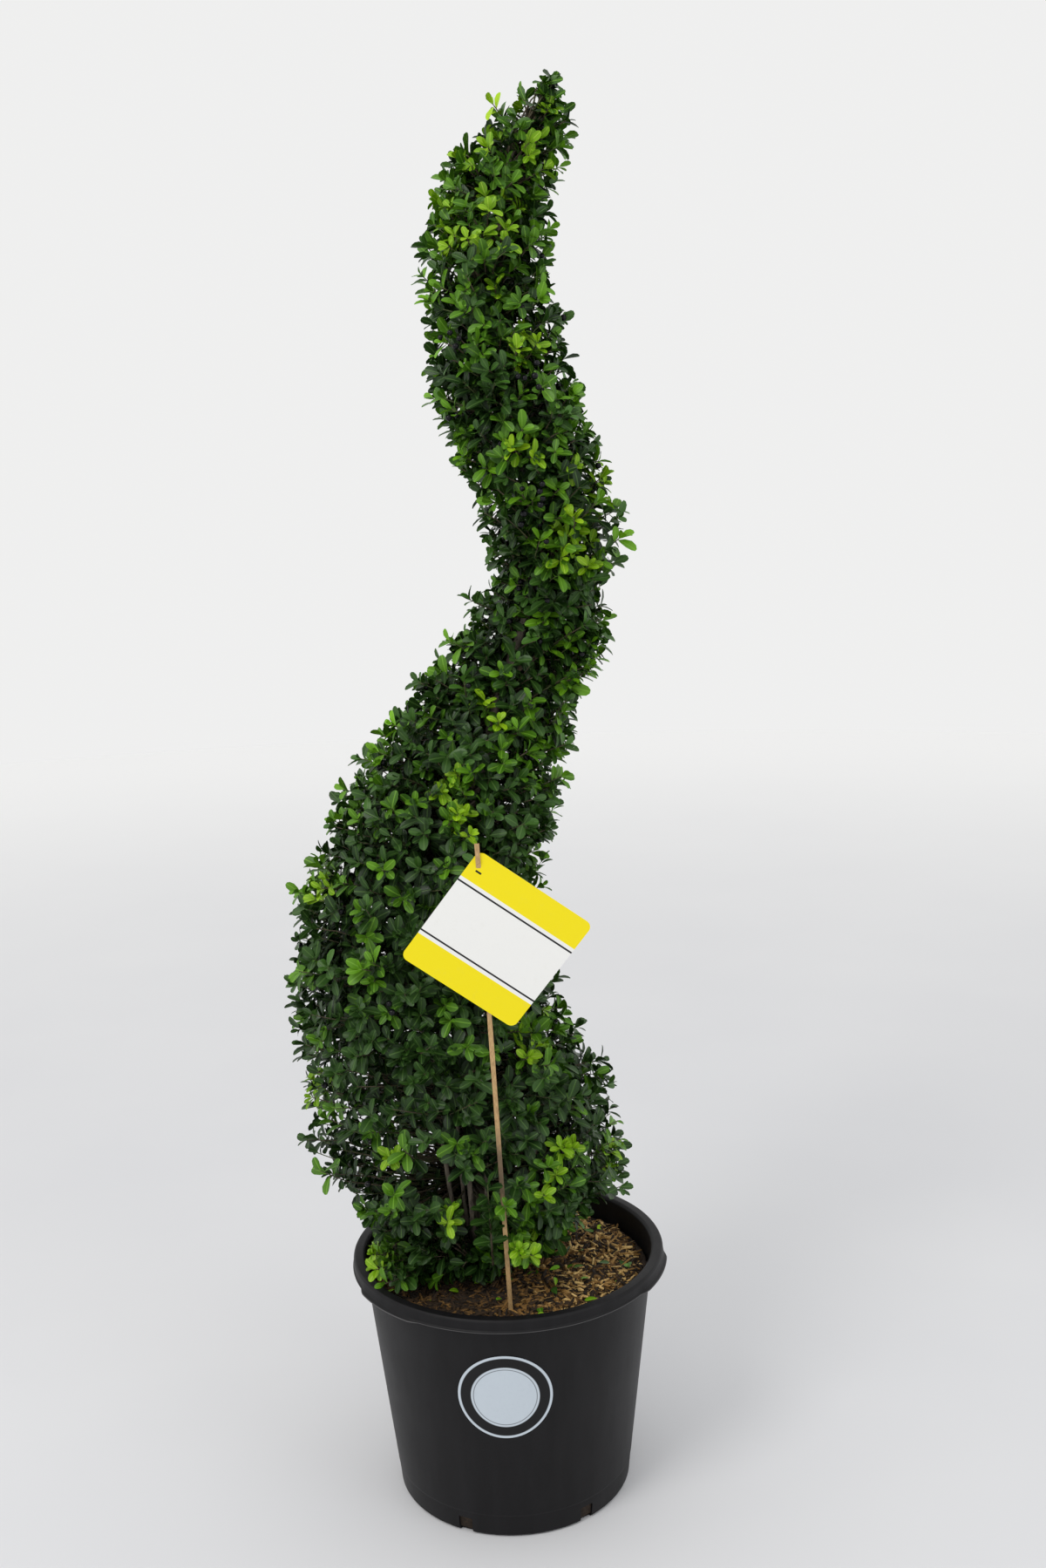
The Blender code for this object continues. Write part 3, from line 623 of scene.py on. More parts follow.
def make_notch(bearing):
    """A round-cornered block that cuts one drain notch."""
    bm = bmesh.new()
    bmesh.ops.create_cube(bm, size=1)
    bmesh.ops.scale(bm, vec=(5 * POT_WALL, NOTCH_WIDTH, 2 * NOTCH_HEIGHT), verts=bm.verts)
    edges = [e for e in bm.edges if abs(e.verts[0].co.x - e.verts[1].co.x) > POT_WALL]
    bmesh.ops.bevel(
        bm, geom=edges, offset=0.0015, segments=2, profile=0.5, affect="EDGES", material=-1
    )
    bmesh.ops.translate(bm, vec=(POT_FOOT, 0, 0), verts=bm.verts)
    bmesh.ops.rotate(bm, verts=bm.verts, matrix=Matrix.Rotation(bearing, 3, "Z"))
    made = bpy.data.objects.new("notch", mesh_of(bm, "notch"))
    bpy.context.scene.collection.objects.link(made)
    return made


pot = make_pot()
print(pot.name, len(pot.data.polygons), "faces")

# %% [markdown]
# The round label lies on a wall that is curved and leans. It starts as a flat disc of rings, whose
# flat place becomes its UV map, and each point is then moved onto the wall. Solidify would do for
# its thickness, but here an inset and an extrude keep it one closed sheet.

# %% Round label
STICKER_RADIUS = 0.054
STICKER_CENTRE = (-0.006, 0.191)
STICKER_THICKNESS = 0.0005
GAP = 0.0003


def disc_of_rings(radius, rings, sides):
    """A flat disc in the XZ plane, made from a filled circle and insets, with its own UV map."""
    bm = bmesh.new()
    bmesh.ops.create_circle(bm, cap_ends=True, segments=sides, radius=radius)
    for number in range(rings):
        face = max(bm.faces, key=lambda f: len(f.verts))
        bmesh.ops.inset_individual(bm, faces=[face], thickness=radius / (rings + 1) * 0.98)
    layer = bm.loops.layers.uv.new("UVMap")
    for face in bm.faces:
        for loop in face.loops:
            x, y, _ = loop.vert.co
            loop[layer].uv = (0.5 + x / radius / 2, 0.5 + y / radius / 2)
    return bm


def make_sticker():
    across, middle = STICKER_CENTRE
    bm = disc_of_rings(STICKER_RADIUS, 10, 96)
    faces = list(bm.faces)
    lifted = bmesh.ops.extrude_face_region(bm, geom=faces)["geom"]
    top = [part for part in lifted if isinstance(part, bmesh.types.BMVert)]
    bmesh.ops.translate(bm, vec=(0, 0, STICKER_THICKNESS), verts=top)
    for vert in bm.verts:
        x, y, lift = vert.co
        height = middle + y
        radius = wall_radius(height) + GAP + lift
        side = across + x
        vert.co = (side, -math.sqrt(radius * radius - side * side), height)
    mesh = mesh_of(bm, "round_label")
    return finish_piece("round_label", mesh, [DISC_PRINT], ["pot_label"], sharp=50)


sticker = make_sticker()
print(sticker.name, len(sticker.data.polygons), "faces")

# %% [markdown]
# The crown is one strand of foliage that winds round a leaning axis and grows wider downwards.
# These stations are its driving sizes, the same as in the solids: height, bearing round the axis,
# how far the section stands off the axis, and its half width.

# %% The strand
AXIS_FOOT = Vector((-0.020, 0.0, 0.280))
AXIS_TIP = Vector((0.053, 0.0, 1.640))
STATIONS = (
    (1.640, 0, 0.030, 0.022),
    (1.575, 97, 0.030, 0.064),
    (1.495, 185, 0.034, 0.069),
    (1.285, 272, 0.050, 0.082),
    (1.125, 358, 0.057, 0.080),
    (0.990, 450, 0.068, 0.099),
    (0.860, 502, 0.072, 0.130),
    (0.745, 540, 0.095, 0.141),
    (0.620, 547, 0.088, 0.160),
    (0.480, 535, 0.045, 0.187),
    (0.400, 530, 0.034, 0.192),
    (0.345, 530, 0.032, 0.147),
    (0.285, 530, 0.030, 0.112),
)
DEPTH_AT_TIP = 0.95
DEPTH_AT_FOOT = 0.80
TRUNK_FOLLOWS = 0.5
CROWN_TIP = 1.645


def strand(heights):
    """The strand at many heights: middle x and y, half width, half depth, and trunk x and y."""
    table = np.array(STATIONS[::-1])
    marks = table[:, 0]
    heights = np.clip(heights, marks[0], marks[-1])
    row = np.clip(np.searchsorted(marks, heights) - 1, 0, len(marks) - 2)
    span = marks[row + 1] - marks[row]
    share = ((heights - marks[row]) / span)[:, None]
    ease = share * share * (3 - 2 * share)
    slopes = np.gradient(table[:, 1:], marks, axis=0)
    values = (1 - ease) * table[row, 1:] + ease * table[row + 1, 1:]
    bend = share * (1 - share) * span[:, None]
    values = values + bend * ((1 - share) * slopes[row] - share * slopes[row + 1])
    bearing = np.radians(values[:, 0])
    reach, width = values[:, 1], values[:, 2]
    along = (heights - AXIS_FOOT.z) / (AXIS_TIP.z - AXIS_FOOT.z)
    axis = AXIS_FOOT.x + (AXIS_TIP.x - AXIS_FOOT.x) * along
    depth = width * (DEPTH_AT_FOOT + (DEPTH_AT_TIP - DEPTH_AT_FOOT) * along)
    x, y = reach * np.cos(bearing), reach * np.sin(bearing)
    return axis + x, y, width, depth, axis + TRUNK_FOLLOWS * x, TRUNK_FOLLOWS * y


def outline_share(points):
    """How far out points lie, where one is the strand's outline."""
    x, y, width, depth, _, _ = strand(points[:, 2])
    return np.hypot((points[:, 0] - x) / width, (points[:, 1] - y) / depth)


def trunk_point(height):
    """The trunk's middle line at a height."""
    _, _, _, _, x, y = strand(np.array([height]))
    return Vector((x[0], y[0], height))


print("strand at 1.285 m:", [round(float(part[0]), 4) for part in strand(np.array([1.285]))])

# %% [markdown]
# Trunk and boughs keep the solids' lines and girths. Circles set along each line are bridged into a
# tube, and noise then moves the skin in and out by half a millimetre, as old bark has it.

# %% Trunk and boughs
SOIL_TOP = 0.272
TRUNK_TOP = 1.585
TRUNK_FOOT_RADIUS = 0.0105
TRUNK_TOP_RADIUS = 0.0022
FLARE = 0.0075
FLARE_HEIGHT = 0.022
RELIEF = 0.0006
RISING_BEARINGS = {"back_right": 45, "back_left": 135, "front_left": 225, "front_right": 315}
FOOT_BEARINGS = {"left": 180, "front": 270, "right": 0, "back": 90}
LOWEST_SLICE = 0.382
BARE_STEPS = 12
BARE_STEMS = (
    ((-0.072, -0.060, 0.470), 0.0036),
    ((-0.055, -0.046, 0.480), 0.0030),
    ((-0.043, -0.070, 0.470), 0.0040),
    ((-0.020, -0.062, 0.480), 0.0032),
    ((0.040, -0.050, 0.460), 0.0034),
)


def outwards(bearing):
    """The level direction of a bearing in degrees."""
    turn = math.radians(bearing)
    return Vector((math.cos(turn), math.sin(turn), 0))


def limb(points, radii, sides, foot_faces=None, tip_faces=None):
    """A bmesh tube through rings that are set along a line, with bark relief."""
    bm = bmesh.new()
    loops = []
    for number, radius in enumerate(radii):
        before = points[max(number - 1, 0)]
        after = points[min(number + 1, len(points) - 1)]
        along = (after - before).normalized()
        if foot_faces and number == 0:
            along = foot_faces
        if tip_faces and number == len(points) - 1:
            along = tip_faces
        turn = UP.rotation_difference(along).to_matrix().to_4x4()
        where = Matrix.Translation(points[number]) @ turn
        ring = bmesh.ops.create_circle(bm, segments=sides, radius=radius, matrix=where)
        for vert in ring["verts"]:
            away = vert.co - points[number]
            spot = Vector((vert.co.x * 260, vert.co.y * 260, vert.co.z * 70))
            vert.co += away.normalized() * (noise.noise(spot) * RELIEF * min(1, radius / 0.006))
        loops.append(list({edge for vert in ring["verts"] for edge in vert.link_edges}))
    for lower, upper in zip(loops, loops[1:]):
        bmesh.ops.bridge_loops(bm, edges=lower + upper)
    bmesh.ops.holes_fill(bm, edges=[e for e in bm.edges if e.is_boundary], sides=sides)
    return bm


def make_trunk():
    foot = SOIL_TOP + GAP
    flared = np.linspace(foot, foot + 0.06, 16)
    heights = np.concatenate([flared, np.linspace(foot + 0.07, TRUNK_TOP, 110)])
    points = [trunk_point(height) for height in heights]
    for point in points[:3]:
        point.x, point.y = points[0].x, points[0].y
    radii = []
    for height in heights:
        share = ((height - foot) / (TRUNK_TOP - foot)) ** (1 / 1.3)
        flare = FLARE * math.exp(-(height - foot) / FLARE_HEIGHT)
        radii.append(TRUNK_FOOT_RADIUS + (TRUNK_TOP_RADIUS - TRUNK_FOOT_RADIUS) * share + flare)
    mesh = mesh_of(limb(points, radii, 14, UP, UP), "trunk_bark")
    return finish_piece("trunk_bark", mesh, [BARK], ["trunk"])


def make_bough(name, start, end, sag, radii, faces):
    """A bough that leaves the trunk's foot and ends under or in its mass."""
    rings = 14
    points = []
    girths = []
    for number in range(rings):
        share = number / (rings - 1)
        point = start.lerp(end, share)
        point.z -= sag * math.sin(math.pi * share)
        points.append(point)
        girths.append(radii[0] + (radii[1] - radii[0]) * share)
    clear = 0.0085
    while (points[0] - start).length < clear:
        points.pop(0)
        girths.pop(0)
    mesh = mesh_of(limb(points, girths, 10, None, faces), name)
    return finish_piece(name + "_bark", mesh, [BARK], [name])


def make_bare_stems():
    """Thin upright stems from the trunk's foot, bare where the gap in the leaves shows them."""
    foot = trunk_point(0.300)
    for number, (tip, radius) in enumerate(BARE_STEMS):
        out = Vector((tip[0] - foot.x, tip[1] - foot.y, 0))
        start = foot + out.normalized() * 0.011
        knee = foot + out * 0.75
        points = []
        for step in range(BARE_STEPS):
            share = step / (BARE_STEPS - 1)
            first = start.lerp(knee, share)
            points.append(first.lerp(knee.lerp(Vector(tip), share), share))
        radii = np.linspace(radius, radius * 0.7, BARE_STEPS)
        mesh = mesh_of(limb(points, radii, 8), "bare_stem")
        finish_piece(f"bare_stem_{number + 1}", mesh, [BARK], [])


trunk = make_trunk()
make_bare_stems()
for side, bearing in RISING_BEARINGS.items():
    tip = trunk_point(LOWEST_SLICE) + 0.095 * outwards(bearing)
    make_bough(f"bough_{side}", trunk_point(0.306), tip, 0.012, (0.0052, 0.0034), UP)
for side, bearing in FOOT_BEARINGS.items():
    start = trunk_point(0.293)
    tip = start + 0.050 * outwards(bearing) + Vector((0, 0, 0.012))
    make_bough(f"bough_foot_{side}", start, tip, 0, (0.0042, 0.0028), outwards(bearing))
print("trunk and", len(RISING_BEARINGS) + len(FOOT_BEARINGS), "boughs")

# %% [markdown]
# Thousands of leaves, twigs and chips are copies of a few small shapes. A shape is modelled once
# with bmesh, read out as arrays, and copied by numpy into one joined mesh. That is quick, and it
# needs no instances.

# %% Copies of a small shape
class Shape:
    """A small triangulated mesh as arrays."""

    def __init__(self, bm):
        bmesh.ops.triangulate(bm, faces=bm.faces)
        bm.verts.ensure_lookup_table()
        self.points = np.array([vert.co[:] for vert in bm.verts])
        self.faces = np.array([[vert.index for vert in face.verts] for face in bm.faces])
        bm.free()


def joined(name, shape, points, tones, kinds=None, flat=None):
    """One mesh of many moved copies: points has a row of the shape's points for each copy."""
    count = len(points)
    size = len(shape.points)
    faces = (shape.faces[None] + np.arange(count)[:, None, None] * size).reshape(-1, 3)
    mesh = bpy.data.meshes.new(name)
    mesh.from_pydata(points.reshape(-1, 3).tolist(), [], faces.tolist())
    tone = mesh.attributes.new("tone", "FLOAT", "POINT")
    tone.data.foreach_set("value", np.repeat(tones, size).astype(np.float32))
    if kinds is not None:
        indices = np.repeat(kinds, len(shape.faces)).astype(np.int32)
        mesh.polygons.foreach_set("material_index", indices)
    if flat is not None:
        layer = mesh.uv_layers.new(name="UVMap")
        corners = np.tile(flat[shape.faces].reshape(-1, 2), (count, 1))
        layer.data.foreach_set("uv", corners.astype(np.float32).ravel())
    return mesh


def unit(vectors):
    """The same directions with a length of one."""
    return vectors / np.linalg.norm(vectors, axis=-1, keepdims=True)


print("copies ready")

# %% [markdown]
# A leaf starts as a grid of two by four faces. Its rows are pulled in to the outline, broadest past
# the middle, its sides are lifted from the midrib, and its tip bends down. Its root and tip rows
# nearly close. Fourteen triangles each are enough at this size.

# %% Leaf shape
LEAF_ROWS = ((0.0, 0.0), (0.28, 0.33), (0.60, 0.50), (0.87, 0.40), (1.0, 0.16))
LEAF_FOLD = 0.16
LEAF_ARCH = 0.22


def leaf_shape():
    bm = bmesh.new()
    bmesh.ops.create_grid(bm, x_segments=2, y_segments=4, size=1)
    for vert in bm.verts:
        row = round((vert.co.y + 1) * 2)
        along, half = LEAF_ROWS[row]
        side = vert.co.x * half
        vert.co = (side, along, LEAF_FOLD * abs(side) - LEAF_ARCH * (along - 0.3) ** 2)
    bmesh.ops.remove_doubles(bm, verts=bm.verts, dist=1e-4)
    return Shape(bm)


LEAF = leaf_shape()
LEAF_FLAT = np.column_stack([0.5 + LEAF.points[:, 0], LEAF.points[:, 1]])
print("leaf:", len(LEAF.faces), "triangles")

# %% [markdown]
# A twig is a three-sided cone cut into lengths, so that it can bend. Its own height, from nought to
# one, says how far along the shoot's curve each of its points goes.

# %% Twig and fruit shapes
def twig_shape(spans):
    bm = bmesh.new()
    bmesh.ops.create_cone(bm, cap_ends=True, segments=3, radius1=1, radius2=1, depth=1)
    bmesh.ops.translate(bm, vec=(0, 0, 0.5), verts=bm.verts)
    for number in range(1, spans):
        everything = [*bm.verts, *bm.edges, *bm.faces]
        bmesh.ops.bisect_plane(bm, geom=everything, plane_co=(0, 0, number / spans), plane_no=UP)
    return Shape(bm)


def fruit_shape():
    bm = bmesh.new()
    bmesh.ops.create_icosphere(bm, subdivisions=2, radius=1)
    for vert in bm.verts:
        if vert.co.z > 0.95:
            vert.co.z -= 0.18
    return Shape(bm)


TWIG = twig_shape(4)
FRUIT = fruit_shape()
print("twig:", len(TWIG.faces), "fruit:", len(FRUIT.faces), "triangles")

# %% [markdown]
# Shoots follow the solids' rule: each slice of the strand has a stem up its middle, and shoots leave
# it in turn, a golden angle apart. Here they are many more and finer. Each one is a curve that runs
# out from the stem and turns upwards near its tip, as clipped holly does.

# %% Shoots of one slice
SLICES = (
    ("foliage_top_back", 1.520),
    ("foliage_top_left", 1.385),
    ("foliage_upper_front", 1.235),
    ("foliage_upper_right", 1.080),
    ("foliage_middle_back", 0.925),
    ("foliage_middle_left", 0.755),
    ("foliage_lower_left", 0.590),
    ("foliage_lower_front", 0.382),
)
SHOOTS_PER_AREA = 2350
GOLDEN_TURN = math.radians(137.5)
SHOOT_REACH = (0.92, 1.04)
SHOOT_STOPS = 0.62
LOOSE_SHARE = 0.05
LOOSE_REACH = 1.10
LEAF_LENGTH = 0.0196
INNER_SHARE = 0.3


def bezier(start, middle, end, share):
    """Points of many bent lines, each at its own share of its length."""
    share = share[..., None]
    return (1 - share) ** 2 * start + 2 * share * (1 - share) * middle + share**2 * end


def slice_shoots(low, high):
    """The starts, bends and tips of one slice's shoots."""
    middle = np.array([(low + high) / 2])
    _, _, width, depth, _, _ = strand(middle)
    count = round(SHOOTS_PER_AREA * math.pi * float(width[0] + depth[0]) * (high - low))
    number = np.arange(count)
    height = low + (high - low) * (number + 0.5) / count
    bearing = number * GOLDEN_TURN + rng.uniform(-0.15, 0.15, count)
    share = rng.uniform(*SHOOT_REACH, count)
    inner = rng.random(count) < INNER_SHARE
    share = np.where(inner, share * rng.uniform(0.62, 0.86, count), share)
    share = np.where(rng.random(count) < LOOSE_SHARE, LOOSE_REACH, share)
    x, y, width, depth, _, _ = strand(height)
    out = np.column_stack([np.cos(bearing), np.sin(bearing), np.zeros(count)])
    reach = np.column_stack([width, depth, width]) * share[:, None]
    tip = np.column_stack([x, y, height]) + out * reach
    foot = np.clip(height - rng.uniform(0.03, 0.09, count), low, high)
    foot_x, foot_y, _, _, _, _ = strand(foot)
    start = np.column_stack([foot_x, foot_y, foot])
    wander = rng.normal(0, 1, (count, 3)) * (0.35, 0.35, 0.25)
    lean = unit(out + wander + (0, 0, 0.45))
    length = np.linalg.norm(tip - start, axis=1, keepdims=True)
    bend = tip - lean * length * 0.45
    tip = tip - lean * LEAF_LENGTH * SHOOT_STOPS
    return start, bend, tip


print("shoots for the widest slice:", len(slice_shoots(0.382, 0.590)[0]))

# %% [markdown]
# New growth shows as bright rosettes: many near the tip of the spiral and at its foot, few
# elsewhere. A table of zones says how common they are, smooth noise gathers them, and on the front
# some bright patches have places of their own. A shoot has one tint, and the leaves well behind
# its tip are one step older.

# %% Tints by spray
ZONES = (
    (1.64, 0.34),
    (1.56, 0.24),
    (1.45, 0.26),
    (1.38, 0.19),
    (1.28, 0.19),
    (1.05, 0.19),
    (0.95, 0.19),
    (0.75, 0.11),
    (0.60, 0.06),
    (0.52, 0.08),
    (0.36, 0.10),
    (0.28, 0.08),
)
PATCH_SCALE = 14.0
PATCHES = (
    (0.000, 1.560, 0.040, 0.45),
    (0.000, 1.495, 0.055, 0.62),
    (0.020, 1.430, 0.020, 0.60),
    (0.090, 1.580, 0.040, 0.45),
    (0.050, 1.350, 0.025, 0.70),
    (0.040, 1.255, 0.030, 0.45),
    (0.133, 1.211, 0.025, 0.70),
    (0.102, 1.145, 0.032, 0.70),
    (0.087, 0.972, 0.022, 0.70),
    (-0.001, 0.951, 0.018, 0.80),
    (-0.033, 0.855, 0.035, 0.65),
    (-0.224, 0.770, 0.030, 0.60),
    (0.045, 0.590, 0.035, 0.40),
    (-0.231, 0.520, 0.030, 0.70),
    (-0.120, 0.460, 0.040, 0.45),
    (0.060, 0.440, 0.032, 0.45),
    (0.120, 0.420, 0.020, 0.60),
    (-0.068, 0.390, 0.016, 0.90),
    (0.025, 0.350, 0.017, 0.90),
    (-0.160, 0.312, 0.018, 0.80),
)


def tint_of(tips):
    """The tint of each shoot: 0 old, 1 fresh, 2 young."""
    marks = np.array(ZONES[::-1])
    common = np.interp(tips[:, 2], marks[:, 0], marks[:, 1])
    patch = np.array([noise.noise(Vector(tip) * PATCH_SCALE) for tip in tips]) * 0.5 + 0.5
    luck = rng.random(len(tips)) * 0.6 + (1 - patch) * 0.4
    tint = np.where(luck < common * 0.7, 2, np.where(luck < common * 1.4 + 0.20, 1, 0))
    chance = rng.random(len(tips))
    for x, z, radius, share in PATCHES:
        near = (np.hypot(tips[:, 0] - x, tips[:, 2] - z) < radius) & (tips[:, 1] < 0.01)
        tint = np.where(near & (chance < share), 2, np.where(near & (chance < 0.95), 1, tint))
    return tint


print("zones of new growth:", len(ZONES), "and patches:", len(PATCHES))

# %% [markdown]
# Leaves sit in turn up the outer part of a shoot. Near its tip they are small and close round it in
# a rosette, and further back they are larger and spread wide, with their upper faces to the light.

# %% Leaves along the shoots
LEAVES_A_SHOOT = 13
LEAF_WIDTH_SHARE = 0.52
LEAF_STEP = 0.0060
SPREADS = (25, 42, 52, 58, 62, 64, 66, 66, 66, 66, 66, 66, 66)
SIZES = (0.66, 0.84, 0.94, 1.02, 1.06, 1.08, 1.08, 1.06, 1.02, 1.0, 0.96, 0.92, 0.9)
NEW_LEAVES = 7
# How the painted shade darkens leaves deep inside the outline: where it starts, its span and its
# floor.
SHADE_FROM = 0.72
SHADE_OVER = 0.30
SHADE_LEAST = 0.10
DEEP_GREEN = ((0.28, 0.45), (0.60, 0.50), (0.80, 0.85), (1.10, 1.25), (1.40, 1.25), (1.64, 0.90))


def leaf_back(number):
    """How far each leaf sits from the tip: the first few crowd into a rosette."""
    return LEAF_STEP * (np.maximum(number - 3, 0) + np.minimum(number, 3) * 0.35)


def leaf_frames(start, bend, tip, tint):
    """Places of all the leaves: root, the three scaled axes, tint and tone."""
    count = len(start)
    number = np.arange(LEAVES_A_SHOOT)
    length = np.linalg.norm(tip - start, axis=1)
    crowded = np.where(tint == 2, 0.62, 1)[:, None] * rng.uniform(0.8, 1.2, (count, 1))
    share = np.clip(1 - leaf_back(number)[None] * crowded / length[:, None], 0.05, 1)
    start, bend, tip = start[:, None], bend[:, None], tip[:, None]
    root = bezier(start, bend, tip, share)
    along = unit((1 - share)[..., None] * (bend - start) + share[..., None] * (tip - bend))
    turn = number[None] * GOLDEN_TURN + rng.uniform(0, math.tau, (count, 1))
    turn = turn + rng.normal(0, 0.42, root.shape[:2])
    across = unit(np.cross(along, (0.31, 0.17, 0.93)))
    third = np.cross(along, across)
    out = np.cos(turn)[..., None] * across + np.sin(turn)[..., None] * third
    spread = np.radians(np.array(SPREADS)[None] + rng.normal(0, 14, root.shape[:2]))[..., None]
    way = along * np.cos(spread) + out * np.sin(spread)
    face = along * np.sin(spread) - out * np.cos(spread)
    face = unit(face + (0, 0, 0.35) + rng.normal(0, 0.34, root.shape))
    side = unit(np.cross(way, face))
    face = np.cross(side, way)
    size = LEAF_LENGTH * np.array(SIZES)[None] * rng.uniform(0.70, 1.20, root.shape[:2])
    size = size * np.where(tint == 2, 0.82, 1)[:, None]
    width = size * LEAF_WIDTH_SHARE * rng.uniform(0.88, 1.12, size.shape)
    tone = rng.uniform(0, 0.5, (count, 1)) + rng.uniform(0, 0.6, size.shape)
    # Painted shade: leaves that sit deeper inside the outline get a lower tone, so the crown's hollows
    # look dark.
    lit = np.clip((outline_share(root.reshape(-1, 3)) - SHADE_FROM) / SHADE_OVER, 0, 1)
    tone = tone * (SHADE_LEAST + (1 - SHADE_LEAST) * lit.reshape(size.shape))
    tone = tone * np.interp(root[..., 2], *zip(*DEEP_GREEN))
    kinds = np.maximum(tint[:, None] - (number[None] >= NEW_LEAVES), 0)
    size, width = size[..., None], width[..., None]
    axes = np.stack([side * width, way * size, face * size], axis=2)
    return root.reshape(-1, 3), axes.reshape(-1, 3, 3), kinds.ravel(), tone.ravel()


def leaves_mesh(name, frames):
    root, axes, kinds, tone = frames
    points = root[:, None] + np.einsum("nk,mkj->mnj", LEAF.points, axes)
    return joined(name, LEAF, points, tone, kinds, LEAF_FLAT)


print("leaves a shoot:", LEAVES_A_SHOOT)

# %% [markdown]
# A leaf stays out of four things: the hollows in the outline, the trunk, the pot's rim, and the
# space of the card and its stick. A leaf that would enter one of them is left out.

# %% What leaves keep clear of
STICK_FOOT = Vector((0.0026, -0.118, SOIL_TOP + GAP))
STICK_TOP = Vector((-0.0147, -0.200, 0.838))
STICK_WIDTH = 0.0052
STICK_DEPTH = 0.0028
STICK_BOW = 0.0036
CARD_SIDE = 0.147
CARD_THICKNESS = 0.0009
CARD_CORNER = 0.008
CARD_TURN = 37.0
CARD_ACROSS = 0.002
CARD_HEIGHT = 0.729


def stick_at(height):
    """The stick's middle line at a height."""
    share = (height - STICK_FOOT.z) / (STICK_TOP.z - STICK_FOOT.z)
    return STICK_FOOT.lerp(STICK_TOP, share)


def clear_of_labels(points):
    """Whether points stay off the stick and behind the card."""
    share = (points[:, 2] - STICK_FOOT.z) / (STICK_TOP.z - STICK_FOOT.z)
    line_x = STICK_FOOT.x + (STICK_TOP.x - STICK_FOOT.x) * share
    line_y = STICK_FOOT.y + (STICK_TOP.y - STICK_FOOT.y) * share
    off_stick = np.hypot(points[:, 0] - line_x, points[:, 1] - line_y - STICK_BOW / 2) > 0.007
    half = CARD_SIDE / math.sqrt(2) + 0.006
    in_card = np.abs(points[:, 0] - CARD_ACROSS) + np.abs(points[:, 2] - CARD_HEIGHT) < half
    return off_stick & ~(in_card & (points[:, 1] < line_y + 0.006))


def clear_of_trunk(points):
    """Whether points stay off the trunk."""
    _, _, _, _, x, y = strand(points[:, 2])
    return np.hypot(points[:, 0] - x, points[:, 1] - y) > 0.013


HOLLOWS = (
    (0.126, 0.0, 1.642, 0.026),
    (0.138, 0.0, 1.430, 0.055),
    (-0.070, 0.0, 1.200, 0.050),
    (0.157, 0.0, 1.078, 0.036),
    (-0.262, 0.0, 0.690, 0.028),
    (-0.264, 0.0, 0.565, 0.030),
    (0.166, -0.05, 0.468, 0.046),
    (-0.252, -0.04, 0.375, 0.055),
    (-0.214, -0.06, 0.335, 0.050),
)
HOLLOW_DEPTH = 2.2


def outside_hollows(points):
    """Whether points stay out of the hollows in the outline, which run from front to back."""
    good = np.ones(len(points), bool)
    for x, y, z, radius in HOLLOWS:
        away = (points - (x, y, z)) / (1, HOLLOW_DEPTH, 1)
        good &= np.linalg.norm(away, axis=1) > radius
    return good


def keep_leaves(frames):
    """Drops leaves that leave the crown or touch something."""
    root, axes, kinds, tone = frames
    tips = root + axes[:, 1]
    good = (tips[:, 2] < CROWN_TIP) & (tips[:, 2] > SOIL_TOP + 0.004) & outside_hollows(tips)
    for points in (tips, root + axes[:, 1] / 2):
        good &= clear_of_trunk(points) & clear_of_labels(points)
        over_pot = np.hypot(points[:, 0], points[:, 1]) > POT_SHOULDER - 0.006
        good &= ~(over_pot & (points[:, 2] < POT_HEIGHT + 0.004))
    return root[good], axes[good], kinds[good], tone[good]


print("card from", CARD_HEIGHT - CARD_SIDE / math.sqrt(2), "m up")

# %% [markdown]
# Twigs run along the same curves. A fruit sits in the angle of a leaf on some of the shoots, alone
# or in twos and threes, and on the front some fruit hangs in clusters.

# %% Twigs and fruit
TWIG_RADII = (0.0016, 0.0006)
FRUIT_RADIUS = 0.0036
CLUSTERS = (
    (-0.021, 1.388, 4),
    (-0.050, 1.374, 4),
    (-0.021, 1.354, 4),
    (0.060, 1.311, 12),
    (-0.030, 1.291, 4),
    (0.056, 1.198, 18),
    (0.050, 1.165, 8),
    (0.112, 1.018, 3),
    (-0.030, 0.985, 3),
    (-0.120, 0.640, 4),
    (-0.190, 0.520, 3),
    (-0.150, 0.430, 3),
)
CLUSTER_SPREAD = 0.010


def twigs_mesh(name, start, bend, tip):
    """Twigs that taper along their curves."""
    share = np.broadcast_to(TWIG.points[:, 2], (len(start), len(TWIG.points)))
    line = bezier(start[:, None], bend[:, None], tip[:, None], share)
    along = unit(tip - start)
    across = unit(np.cross(along, (0.31, 0.17, 0.93)))
    third = np.cross(along, across)
    radius = (TWIG_RADII[0] + (TWIG_RADII[1] - TWIG_RADII[0]) * share)[..., None]
    x, y = TWIG.points[:, 0][None, :, None], TWIG.points[:, 1][None, :, None]
    points = line + radius * (x * across[:, None] + y * third[:, None])
    return joined(name, TWIG, points, rng.random(len(start)))


def fruit_places(start, bend, tip, share_of_shoots):
    """Places of fruit in ones to threes, a little back from some tips."""
    chosen = np.flatnonzero(rng.random(len(start)) < share_of_shoots)
    picked = np.repeat(chosen, rng.integers(1, 4, len(chosen)))
    back = rng.uniform(0.002, 0.020, len(picked))
    length = np.linalg.norm(tip - start, axis=1)[picked]
    spot = bezier(start[picked], bend[picked], tip[picked], 1 - back / length)
    return spot + unit(rng.normal(0, 1, spot.shape)) * (FRUIT_RADIUS + 0.0008)


